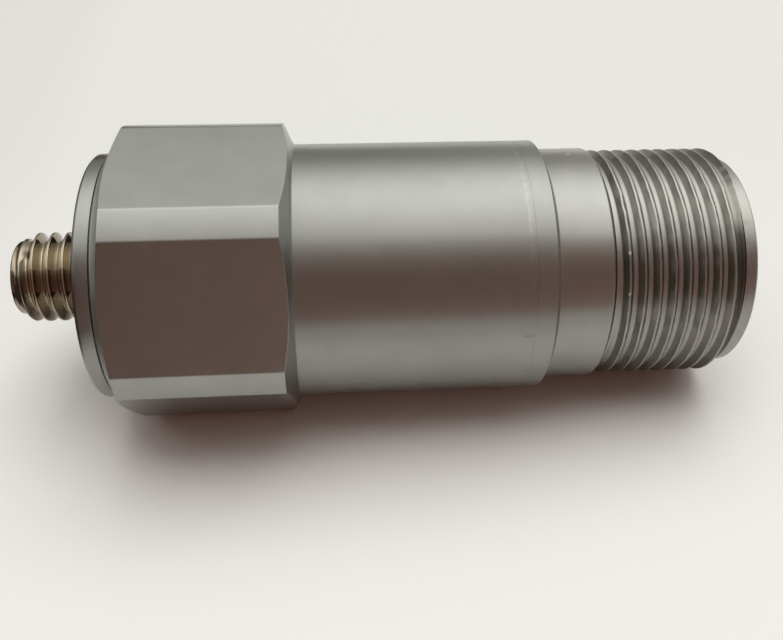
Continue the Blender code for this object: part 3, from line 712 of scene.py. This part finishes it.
def connector_shell(steels):
    """Flange, neck, undercut, thread and rim, with the spigot and the socket inside."""
    edge = SHELL_EDGE
    flange_start = SEAM_PLACE + SEAM_GAP / 2
    left = [
        (SHELL_START, SPIGOT_INNER_RADIUS, 0),
        (SHELL_START, SPIGOT_RADIUS, edge),
        (flange_start, SPIGOT_RADIUS, 0),
        (flange_start, SPIGOT_BORE_RADIUS, 0),
        (flange_start, BODY_RADIUS, SEAM_EDGE),
        *weld_rows(flange_start + 2 * SEAM_EDGE, FLANGE_END - edge),
        (FLANGE_END, BODY_RADIUS, FLANGE_EDGE),
        (FLANGE_END, FOOT_RADIUS, FLANGE_EDGE),
        (FOOT_END, FOOT_RADIUS, edge),
        (FOOT_END + FOOT_SLOPE, NECK_RADIUS, edge),
        (NECK_END, NECK_RADIUS, edge),
        (SMALL_STEP_END, CREST_RADIUS, edge),
        (SMALL_STEP_END, UNDERCUT_RADIUS, edge),
        (THREAD_START, UNDERCUT_RADIUS, 0),
        (THREAD_START, THREAD_ROOT, 0),
    ]
    right = [
        (THREAD_END, THREAD_ROOT, 0),
        (THREAD_END + RELIEF_EDGE, RELIEF_RADIUS, edge),
        (RELIEF_END, RELIEF_RADIUS, edge),
        (RELIEF_END + RELIEF_EDGE, PILOT_RADIUS, 0),
        (RIM - PILOT_CHAMFER, PILOT_RADIUS, edge),
        (RIM, PILOT_RADIUS - PILOT_CHAMFER, edge),
        (RIM, SOCKET_RADIUS, SOCKET_LIP),
        (SOCKET_FLOOR, SOCKET_RADIUS, edge),
        (SOCKET_FLOOR, INNER_BORE_RADIUS, edge),
        (FLANGE_END, INNER_BORE_RADIUS, 0),
        (FLANGE_END, SPIGOT_INNER_RADIUS, 0),
        (SHELL_START, SPIGOT_INNER_RADIUS, 0),
    ]
    thread = thread_rows(
        form=THREAD_FORM,
        start=THREAD_START,
        end=THREAD_END,
        pitch=THREAD_PITCH,
        crest_station=THREAD_CREST_STATION,
        root=THREAD_ROOT,
        crest=CREST_RADIUS,
        fades=THREAD_FADES,
        segments=ROUND_SEGMENTS,
        wear=connector_wear,
    )
    shape = bmesh.new()
    angles = even_angles(ROUND_SEGMENTS)
    add_skin(shape, round_corners(left), angles)
    add_thread(shape, thread, ROUND_SEGMENTS)
    behind = [(station, with_runout(station, radius, angles)) for station, radius in round_corners(right)]
    add_skin(shape, behind, angles)
    mesh = close_mesh("connector_steel", shape)
    add_piece("connector_steel", mesh, steels["turned"], "turned_steel", "connector_shell")
    finish_faces(mesh, steels, ("turned", "satin", "cut", "torn_and_shaded", "dull", "groove_shade"), shell_finish)
    key = block_mesh(
        "socket_key",
        (KEY_START, -KEY_WIDTH / 2, SOCKET_RADIUS - KEY_HEIGHT),
        (KEY_END, KEY_WIDTH / 2, SOCKET_RADIUS + KEY_ROOT),
        KEY_EDGE,
    )
    add_piece("socket_key", key, steels["turned"], "turned_steel")


def connector_insert(plastic, back, face):
    """The moulded insert with its ring-shaped recess, between two stations."""
    seal_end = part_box("insert_seal")[1].x - PAD_FACE + BOSS_GAP
    flange_radius = SOCKET_RADIUS - BOSS_GAP
    boss_radius = INNER_BORE_RADIUS - BOSS_GAP
    outline = [
        (back, 0, 0),
        (back, boss_radius, BOSS_EDGE),
        (seal_end, boss_radius, 0),
        (seal_end, flange_radius, RECESS_EDGE),
        (face, flange_radius, INSERT_EDGE),
        (face, RECESS_RADII[0], RECESS_RIM),
        (face - RECESS_DEPTH, RECESS_RADII[0] - RECESS_SLOPE, RECESS_EDGE),
        (face - RECESS_DEPTH, RECESS_RADII[1] + RECESS_SLOPE, RECESS_EDGE),
        (face, RECESS_RADII[1], INSERT_EDGE),
        (face, 0, 0),
    ]
    mesh = turned_mesh("insert_moulding", outline, INSERT_SEGMENTS)
    return add_piece("insert_moulding", mesh, plastic, "black_plastic", "connector_insert")


def contact_pin(number, insert, gold, back, face):
    """One pin, and its seat in the insert."""
    low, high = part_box(f"contact_pin_{number}")
    radius = (high.y - low.y) / 2
    place = ((low.y + high.y) / 2, (low.z + high.z) / 2 - AXIS_HEIGHT)
    seat = [
        (back - MM, 0, 0),
        (back - MM, radius + BOSS_GAP, 0),
        (face - PIN_SEAT_DEPTH, radius + BOSS_GAP, 0),
        (face - PIN_SEAT_DEPTH, PIN_SEAT_RADIUS - PIN_SEAT_SLOPE, PIN_SEAT_EDGE),
        (face + PIN_SEAT_DEPTH, PIN_SEAT_RADIUS + PIN_SEAT_SLOPE, 0),
        (face + PIN_SEAT_DEPTH, 0, 0),
    ]
    cut_away(insert, off_axis(turned_mesh("seat", seat, PIN_SEGMENTS), *place))
    tail = low.x - PAD_FACE
    tip = high.x - PAD_FACE
    pin = [
        (tail + CUP_DEPTHS[0], 0, 0),
        (tail + CUP_DEPTHS[1], CUP_SHARES[0] * radius, 0),
        (tail, CUP_SHARES[1] * radius, CUP_EDGES[0]),
        (tail, radius, CUP_EDGES[1]),
        (face - SHOULDER_BEFORE, radius, SHOULDER_EDGE),
        (face + SHOULDER_BEYOND, SHAFT_SHARE * radius, SHOULDER_EDGE),
        (tip - NOSE_LENGTHS[0] * radius, SHAFT_SHARE * radius, NOSE_EDGES[0]),
        (tip - NOSE_LENGTHS[1] * radius, NOSE_SHARES[0] * radius, NOSE_EDGES[1]),
        (tip, NOSE_SHARES[1] * radius, NOSE_EDGES[2]),
        (tip, 0, 0),
    ]
    mesh = off_axis(turned_mesh(f"gold_pin_{number}", pin, PIN_SEGMENTS), *place)
    add_piece(f"gold_pin_{number}", mesh, gold, "gold_plate", f"contact_pin_{number}")


def split_ring(spring_steel, start):
    """The retaining ring before the insert's face, with its gap downwards."""
    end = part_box("retaining_ring")[1].x - PAD_FACE
    outer = SOCKET_RADIUS - BOSS_GAP
    inner = outer - RING_WIDTH
    outline = [
        (start, inner, RING_EDGE),
        (start, outer, RING_EDGE),
        (end, outer, RING_EDGE),
        (end, inner, RING_EDGE),
    ]
    mesh = turned_mesh("split_ring", outline, RING_SEGMENTS)
    ring = add_piece("split_ring", mesh, spring_steel, "inner_steel", "retaining_ring")
    gap = block_mesh("gap", (start - MM, -RING_GAP / 2, -outer - MM), (end + MM, RING_GAP / 2, 0), 0)
    cut_away(ring, gap)


def connector_contacts(plastic, spring_steel, gold):
    """The pieces inside the socket: insert, two pins and retaining ring."""
    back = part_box("connector_insert")[0].x - PAD_FACE
    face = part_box("connector_insert")[1].x - PAD_FACE
    insert = connector_insert(plastic, back, face)
    for number in (1, 2):
        contact_pin(number, insert, gold, back, face)
    split_ring(spring_steel, face + BOSS_GAP)


def mounting_stud(finish):
    """Set screw with a hexagon socket and a rolled thread, and its plain shank inside the pad."""
    thread_start = STUD_TIP + STUD_TIP_CHAMFER
    tip = [(STUD_TIP, 0, 0), (STUD_TIP, STUD_TIP_RADIUS, STUD_EDGE), (thread_start, STUD_ROOT, 0)]
    shank = [
        (0, STUD_ROOT, 0),
        (STUD_PITCH / 4, STUD_RADIUS, 0),
        (STUD_END - STUD_SHANK_CHAMFER, STUD_RADIUS, STUD_EDGE),
        (STUD_END, STUD_ROOT, STUD_EDGE),
        (STUD_END, 0, 0),
    ]
    thread = thread_rows(
        form=STUD_FORM,
        start=thread_start,
        end=0,
        pitch=STUD_PITCH,
        crest_station=STUD_CREST_STATION,
        root=STUD_ROOT,
        crest=STUD_RADIUS,
        fades=STUD_FADES,
        segments=STUD_SEGMENTS,
        wear=stud_wear,
    )
    shape = bmesh.new()
    angles = even_angles(STUD_SEGMENTS)
    add_skin(shape, round_corners(tip), angles)
    add_thread(shape, thread, STUD_SEGMENTS)
    add_skin(shape, round_corners(shank), angles)
    mesh = close_mesh("stud_steel", shape)
    piece = add_piece("stud_steel", mesh, finish, "bright_steel", "mounting_stud")
    socket = [
        (STUD_TIP - MM, 0, 0),
        (STUD_TIP - MM, STUD_SOCKET_RADIUS, 0),
        (STUD_TIP + STUD_SOCKET_DEPTH, STUD_SOCKET_RADIUS, 0),
        (STUD_TIP + STUD_SOCKET_DEPTH, 0, 0),
    ]
    cut_away(piece, turned_mesh("socket", socket, STUD_SOCKET_SIDES))
    mouth = [
        (STUD_TIP - STUD_COUNTERSINK, 0, 0),
        (STUD_TIP - STUD_COUNTERSINK, STUD_SOCKET_RADIUS + STUD_COUNTERSINK, 0),
        (STUD_TIP + STUD_COUNTERSINK, STUD_SOCKET_RADIUS - STUD_COUNTERSINK, 0),
        (STUD_TIP + STUD_COUNTERSINK, 0, 0),
    ]
    cut_away(piece, turned_mesh("mouth", mouth, STUD_SEGMENTS))


def fill(tree, socket, value):
    """Gives a node's input another node's output, a colour or a number."""
    if isinstance(value, bpy.types.NodeSocket):
        tree.links.new(value, socket)
    elif socket.type == "RGBA":
        socket.default_value = (*value, 1)
    else:
        socket.default_value = value


def add_node(tree, kind, inputs, **settings):
    """A node with its settings made and its inputs filled, by their names or numbers."""
    node = tree.nodes.new(kind)
    for name, value in settings.items():
        setattr(node, name, value)
    for key, value in inputs.items():
        fill(tree, node.inputs[key], value)
    return node


def math_node(tree, operation, *values):
    node = add_node(tree, "ShaderNodeMath", dict(enumerate(values)), operation=operation)
    return node.outputs["Value"]


def map_range(tree, value, reach, result, kind="SMOOTHSTEP"):
    """Maps a value from one (low, high) reach to another."""
    inputs = {
        "Value": value,
        "From Min": reach[0],
        "From Max": reach[1],
        "To Min": result[0],
        "To Max": result[1],
    }
    return add_node(tree, "ShaderNodeMapRange", inputs, interpolation_type=kind).outputs["Result"]


def from_noise(tree, value, low, high):
    """Maps the middle half of a noise value to a range."""
    return map_range(tree, value, NOISE_MIDDLE, (low, high), "LINEAR")


def mix_colours(tree, factor, first, second):
    inputs = {"Factor": factor, "A": first, "B": second}
    return add_node(tree, "ShaderNodeMix", inputs, data_type="RGBA").outputs["Result"]


def scaled(tree, colour, factor):
    """A colour times a number."""
    inputs = {"Vector": colour, "Scale": factor}
    return add_node(tree, "ShaderNodeVectorMath", inputs, operation="SCALE").outputs["Vector"]


def object_place(tree):
    """The place of a point in its object's own frame."""
    return tree.nodes.new("ShaderNodeTexCoord").outputs["Object"]


def parts_of(tree, vector):
    """A vector's X, Y and Z, by name."""
    return add_node(tree, "ShaderNodeSeparateXYZ", {"Vector": vector}).outputs


def stretched_noise(tree, stretch, detail=3.0):
    """Noise with its own scale, per millimetre, along X, Y and Z."""
    scale = [count / MM for count in stretch]
    mapping = add_node(tree, "ShaderNodeMapping", {"Vector": object_place(tree), "Scale": scale})
    inputs = {"Vector": mapping.outputs["Vector"], "Scale": 1.0, "Detail": detail}
    return add_node(tree, "ShaderNodeTexNoise", inputs).outputs["Fac"]


def bumps(tree, value, height):
    """The normal of a skin that a value raises by up to a height."""
    inputs = {"Strength": 1.0, "Distance": height, "Height": value}
    return add_node(tree, "ShaderNodeBump", inputs).outputs["Normal"]


def set_look(material, look):
    """Fills inputs of the material's shader, by their names."""
    tree = material.node_tree
    for name, value in look.items():
        fill(tree, tree.nodes["Principled BSDF"].inputs[name], value)


def new_material(name, colour, roughness, metallic):
    material = bpy.data.materials.new(name)
    material.use_nodes = True
    set_look(material, {"Base Color": colour, "Roughness": roughness, "Metallic": metallic})
    return material


def shades(colour, darker, lighter):
    """A darker and a lighter shade of a colour."""
    dark = [darker * channel for channel in colour]
    light = [min(1, lighter * channel) for channel in colour]
    return dark, light


def steel(name, colour, roughness, lines, spread=0.05, height=0.0015 * MM, tone=0.03, spread_across=0.7):
    """Machined steel: fine marks along one direction, in colour, roughness and height. The marks
    run round the axis, so a highlight spreads across them."""
    material = new_material(name, colour, roughness, 1.0)
    tree = material.node_tree
    around = add_node(tree, "ShaderNodeTangent", {}, direction_type="RADIAL", axis="X")
    marks = stretched_noise(tree, lines)
    patches = from_noise(tree, stretched_noise(tree, STEEL_PATCHES, 2.0), 0, 1)
    plain = mix_colours(tree, patches, *shades(colour, *STEEL_SHADES))
    look = {
        "Anisotropic": spread_across,
        "Anisotropic Rotation": ROUND_THE_AXIS,
        "Tangent": around.outputs["Tangent"],
        "Base Color": scaled(tree, plain, from_noise(tree, marks, 1 - tone, 1 + tone)),
        "Roughness": from_noise(tree, marks, roughness - spread, roughness + spread),
        "Normal": bumps(tree, marks, height),
    }
    set_look(material, look)
    return material


def grained(name, colour, roughness, metallic, scale, contrast=0.12):
    """A plain material with an even grain in colour, roughness and height."""
    material = new_material(name, colour, roughness, metallic)
    tree = material.node_tree
    grain = stretched_noise(tree, (scale, scale, scale), 4.0)
    tones = shades(colour, 1 - contrast, 1 + contrast)
    glosses = [share * roughness for share in GRAIN_GLOSS]
    look = {
        "Base Color": mix_colours(tree, from_noise(tree, grain, 0, 1), *tones),
        "Roughness": from_noise(tree, grain, *glosses),
        "Normal": bumps(tree, grain, GRAIN_HEIGHT),
    }
    set_look(material, look)
    return material


def paint_over(material, share, colour):
    """Lays a colour over the skin's own, as far as a share says."""
    skin = material.node_tree.nodes["Principled BSDF"].inputs["Base Color"]
    under = skin.links[0].from_socket
    set_look(material, {"Base Color": mix_colours(material.node_tree, share, under, colour)})


def add_spot(material, station, degrees, radius, size, colour):
    """One small spot on the skin, round a place given from the sensor's axis. The spots are stains, a dark
    spot, painted glints and painted shadow.
    """
    tree = material.node_tree
    angle = math.radians(degrees)
    middle = (PAD_FACE + station, radius * math.cos(angle), AXIS_HEIGHT + radius * math.sin(angle))
    inputs = {0: object_place(tree), 1: middle}
    away = add_node(tree, "ShaderNodeVectorMath", inputs, operation="DISTANCE").outputs["Value"]
    inside = map_range(tree, away, (size, SPOT_CORE * size), (0.0, SPOT_STRENGTH))
    paint_over(material, inside, colour)


def add_weld_mark_and_sheen(material, station, colour):
    """A soft row of lighter blots round the tube's upper half, where the weld was ground flush. Keeping
    them to the upper half paints sheen on the real mark.
    """
    tree = material.node_tree
    place = parts_of(tree, object_place(tree))
    offset = math_node(tree, "SUBTRACT", place["X"], PAD_FACE + station)
    near = map_range(tree, math_node(tree, "ABSOLUTE", offset), WELD_MARK_REACH, (0.0, 1.0))
    above = map_range(tree, place["Z"], WELD_SHEEN_HEIGHTS, (0.0, WELD_MARK_STRENGTH))
    noise = stretched_noise(tree, WELD_BLOTS, 2.0)
    blots = map_range(tree, noise, WELD_BLOT_RANGE, (WELD_BLOT_LEAST, 1.0))
    share = math_node(tree, "MULTIPLY", math_node(tree, "MULTIPLY", near, above), blots)
    paint_over(material, share, colour)


def add_painted_shade_below(material, heights, colour):
    """Painted shade: a darker tone below a height over the sensor's axis, coming in between two heights."""
    tree = material.node_tree
    span = [AXIS_HEIGHT + height for height in heights]
    below = map_range(tree, parts_of(tree, object_place(tree))["Z"], span, (0.0, 1.0))
    paint_over(material, below, colour)


def shown_steels():
    """Finishes of the steel that the photograph shows, with their marks and stains, and with painted shade,
    sheen, glints and shadow.
    """
    steels = {
        "satin": steel("satin_steel", (0.285, 0.284, 0.272), 0.33, FINE_MARKS, tone=0.02),
        "milled": steel("milled_steel", (0.315, 0.316, 0.304), 0.33, FINE_MARKS, tone=0.02),
        "turned": steel("turned_steel", (0.3, 0.297, 0.283), 0.3, (10, 0.6, 0.6), 0.03, 0.0008 * MM, 0.02),
        "cut": steel("cut_steel", (0.31, 0.305, 0.288), 0.3, CUT_MARKS, tone=0.05, spread_across=0.2),
        # Torn flanks: rougher, and darker as painted shade on the thread's flanks and in the undercut.
        "torn_and_shaded": steel("torn_and_shaded_steel", (0.215, 0.205, 0.187), 0.32, CUT_MARKS, tone=0.08, spread_across=0.2),
        "groove_shade": steel("groove_shade_steel", (0.25, 0.24, 0.22), 0.33, CUT_MARKS, tone=0.1, spread_across=0.2),
        "dull": steel("dull_steel", (0.4, 0.413, 0.378), 0.5, CUT_MARKS, tone=0.05, spread_across=0.2),
        "bright": steel("bright_steel", (0.335, 0.28, 0.213), 0.09, (0.6, 2, 2), 0.02, 0.0003 * MM),
    }
    # The weld's mark, shown as painted sheen on the upper half.
    add_weld_mark_and_sheen(steels["satin"], WELD_LINES[0], WELD_SHEEN_COLOUR)
    # Painted shade in the last groove, darker below a height.
    add_painted_shade_below(steels["groove_shade"], GROOVE_SHADE_HEIGHTS, GROOVE_PAINTED_SHADE)
    for name, station, degrees, radius, size, colour in SPOTS:
        add_spot(steels[name], station, degrees, radius, size, colour)
    return steels


def inner_materials():
    """Finishes of the pieces inside, by the record's material slots."""
    return {
        "inner_steel": steel("inner_steel", (0.56, 0.55, 0.54), 0.3, (9, 0.4, 0.4)),
        "tinned_steel": grained("tinned_steel", (0.66, 0.66, 0.63), 0.32, 1.0, 2.5),
        "tungsten": grained("tungsten", (0.3, 0.3, 0.32), 0.42, 1.0, 9),
        "gold_plate": steel("gold_plate", (0.86, 0.62, 0.27), 0.22, (6, 0.5, 0.5)),
        "silver_foil": steel("silver_foil", (0.82, 0.81, 0.79), 0.2, (3, 0.6, 0.6)),
        "alumina": grained("alumina", (0.82, 0.81, 0.77), 0.5, 0.0, 6, 0.04),
        "piezo_ceramic": grained("piezo_ceramic", (0.6, 0.53, 0.4), 0.6, 0.0, 5, 0.08),
        "amber_polymer": grained("amber_polymer", (0.6, 0.36, 0.1), 0.35, 0.0, 1.2, 0.08),
        "black_plastic": grained("black_plastic", (0.03, 0.03, 0.034), 0.42, 0.0, 8, 0.2),
        "black_rubber": grained("black_rubber", (0.022, 0.022, 0.022), 0.75, 0.0, 5, 0.2),
        "green_laminate": grained("green_laminate", (0.03, 0.2, 0.08), 0.3, 0.0, 3, 0.15),
        "tan_resin": grained("tan_resin", (0.66, 0.46, 0.14), 0.45, 0.0, 6, 0.08),
        "white_lead": grained("white_lead", (0.78, 0.78, 0.76), 0.4, 0.0, 3, 0.04),
        "red_lead": grained("red_lead", (0.48, 0.04, 0.03), 0.4, 0.0, 3, 0.08),
    }


def dress_solids(finishes):
    """Gives each solid that stays its finish, by its slot in the record."""
    for part in frame["record"]["subparts"]:
        if part["material_slot"] in finishes:
            for slot in frame["nodes"][part["node"]].material_slots:
                slot.link = "OBJECT"
                slot.material = finishes[part["material_slot"]]


def add_camera():
    data = bpy.data.cameras.new("camera")
    data.lens = LENS
    data.sensor_width = SENSOR_WIDTH
    data.sensor_fit = "HORIZONTAL"
    data.shift_x, data.shift_y = SHIFT
    data.clip_start = NEAREST_SEEN
    data.clip_end = FURTHEST_SEEN
    camera = add_object("camera", data)
    camera.location = CAMERA_PLACE
    camera.rotation_euler = CAMERA_TURN
    bpy.context.scene.camera = camera


def ring_share(tree, vector):
    """The direction's angle as a share of half a turn, with the X part beside it."""
    parts = parts_of(tree, vector)
    forward = math_node(tree, "MULTIPLY", parts["Y"], -1)
    angle = math_node(tree, "ARCTAN2", parts["Z"], forward)
    return math_node(tree, "DIVIDE", angle, math.pi), parts["X"]


def add_ramp(tree, share, stops):
    """A colour ramp from (degrees, colour or number) stops."""
    ramp = add_node(tree, "ShaderNodeValToRGB", {"Fac": share})
    elements = ramp.color_ramp.elements
    while len(elements) < len(stops):
        elements.new(0.5)
    for element, (degrees, colour) in zip(elements, stops):
        element.position = degrees / HALF_TURN
        element.color = (*colour, 1) if isinstance(colour, tuple) else (colour, colour, colour, 1)
    return ramp.outputs["Color"]


def add_world():
    """A pale studio, brightest overhead. Its sides hardly light the floor, which keeps the
    sensor's shadow, but the steel shows them."""
    world = bpy.data.worlds.new("studio")
    world.use_nodes = True
    bpy.context.scene.world = world
    tree = world.node_tree
    direction = tree.nodes.new("ShaderNodeTexCoord").outputs["Generated"]
    share, aside = ring_share(tree, direction)
    reach = map_range(tree, math_node(tree, "ABSOLUTE", aside), FLOOR_REACH, (1.0, FLOOR_LEAST))
    lit = scaled(tree, add_ramp(tree, share, FLOOR_RING), reach)
    middle = HALF_TURN / 2
    gain_stops = [(middle + middle * x, level) for x, level in SHOWN_GAIN]
    gain = add_ramp(tree, math_node(tree, "MULTIPLY_ADD", aside, 0.5, 0.5), gain_stops)
    shown = scaled(tree, add_ramp(tree, share, SHOWN_RING), gain)
    path = tree.nodes.new("ShaderNodeLightPath").outputs
    mirrored = math_node(tree, "MAXIMUM", path["Is Glossy Ray"], path["Is Transmission Ray"])
    colour = mix_colours(tree, mirrored, lit, shown)
    colour = mix_colours(tree, path["Is Camera Ray"], colour, PALE)
    fill(tree, tree.nodes["Background"].inputs["Color"], colour)


def card_paint(name):
    """The look of a card, and its glow, which no lamp changes."""
    paint = bpy.data.materials.new(name)
    paint.use_nodes = True
    tree = paint.node_tree
    tree.nodes.remove(tree.nodes["Principled BSDF"])
    glow = tree.nodes.new("ShaderNodeEmission")
    fill(tree, tree.nodes["Material Output"].inputs["Surface"], glow.outputs["Emission"])
    return paint, glow


def add_card():
    """A dark card on the viewer's side, bent round the sensor, that only the steel reflects."""
    shape = bmesh.new()
    rows = []
    for degrees in range(CARD_LOWEST, CARD_RING[-1][0] + 1, CARD_STEP):
        angle = math.radians(degrees)
        y = -CARD_RADIUS * math.cos(angle)
        z = AXIS_HEIGHT + CARD_RADIUS * math.sin(angle)
        rows.append([shape.verts.new((x, y, z)) for x in (-CARD_HALF_LENGTH, CARD_HALF_LENGTH)])
    for low, high in zip(rows, rows[1:]):
        shape.faces.new((low[0], low[1], high[1], high[0]))
    card = add_object("dark_card", plain_mesh("dark_card", shape))
    card.visible_camera = False
    card.visible_diffuse = False
    paint, glow = card_paint("card_paint")
    tree = paint.node_tree
    share, aside = ring_share(tree, object_place(tree))
    level = map_range(tree, aside, CARD_DARK_END, (CARD_DARK_SHARE, 1.0))
    fill(tree, glow.inputs["Color"], scaled(tree, add_ramp(tree, share, CARD_RING), level))
    card.data.materials.append(paint)


def add_lamp():
    """One soft lamp above, a little behind and towards the connector's end."""
    data = bpy.data.lights.new("lamp", "AREA")
    data.shape = "RECTANGLE"
    data.size = 2 * LAMP_DISTANCE * math.tan(LAMP_WIDTH)
    data.size_y = 2 * LAMP_DISTANCE * math.tan(LAMP_SPREAD)
    data.energy = LAMP_WATTS
    data.color = LAMP_COLOUR
    lamp = add_object("lamp", data)
    lamp.visible_glossy = False
    aim = Vector((math.tan(LAMP_ASIDE), -math.cos(LAMP_ANGLE), math.sin(LAMP_ANGLE))).normalized()
    lamp.location = Vector((0, 0, AXIS_HEIGHT)) + LAMP_DISTANCE * aim
    lamp.rotation_euler = aim.to_track_quat("Z", "Y").to_euler()


def add_floor():
    """A plain pale floor, with painted shade that makes it a little darker towards the back."""
    shape = bmesh.new()
    bmesh.ops.create_grid(shape, x_segments=1, y_segments=1, size=FLOOR_SIZE / 2)
    floor = add_object("floor", plain_mesh("floor", shape))
    floor.rotation_euler = (0, FLOOR_LEAN, 0)
    floor.location = (HEX_REAR_EDGE_X, 0, 0)
    finish = new_material("floor_paint", FLOOR_NEAR, FLOOR_ROUGHNESS, 0.0)
    tree = finish.node_tree
    away = map_range(tree, parts_of(tree, object_place(tree))["Y"], FLOOR_FADE, (0.0, 1.0))
    tone = mix_colours(tree, away, FLOOR_NEAR, FLOOR_FAR_SHADED)
    set_look(finish, {"Specular IOR Level": FLOOR_SPECULAR, "Base Color": tone})
    floor.data.materials.append(finish)
    return floor


def add_shade_reflection_sheet(floor):
    """A glowing sheet over the floor, before the sensor and beyond the stud, that only the steel reflects.
    It paints a reflection of shade into the steel, darkest beyond the stud and darker further towards the
    viewer.
    """
    shape = bmesh.new()
    far = FLAG_REACH
    left, near = FLAG_SHADOW_END[1], FLAG_FRONT[1]
    for low, high in (((-far, -far), (far, near)), ((-far, near), (left, far))):
        corners = [(low[0], low[1]), (high[0], low[1]), (high[0], high[1]), (low[0], high[1])]
        shape.faces.new([shape.verts.new((x, y, FLAG_LIFT)) for x, y in corners])
    flag = add_object("shade_reflection_sheet", plain_mesh("shade_reflection_sheet", shape))
    flag.rotation_euler = floor.rotation_euler
    flag.visible_camera = False
    flag.visible_diffuse = False
    flag.visible_shadow = False
    paint, glow = card_paint("shade_reflection_glow")
    tree = paint.node_tree
    place = parts_of(tree, object_place(tree))
    ahead = map_range(tree, place["Y"], FLAG_FRONT, (0.0, 1.0))
    tone = mix_colours(tree, ahead, FLAG_FAR_PAINTED_SHADE, FLAG_NEAR_TONE)
    aside = map_range(tree, place["X"], FLAG_SHADOW_END, (0.0, 1.0))
    fill(tree, glow.inputs["Color"], mix_colours(tree, aside, FLAG_PAINTED_SHADOW, tone))
    flag.data.materials.append(paint)


def build():
    bpy.context.scene.view_settings.view_transform = "Standard"
    add_camera()
    add_world()
    add_card()
    add_lamp()
    add_shade_reflection_sheet(add_floor())
    steels = shown_steels()
    inner = inner_materials()
    housing(steels)
    connector_shell(steels)
    connector_contacts(inner["black_plastic"], inner["inner_steel"], inner["gold_plate"])
    mounting_stud(steels["bright"])
    dress_solids(inner)


build()
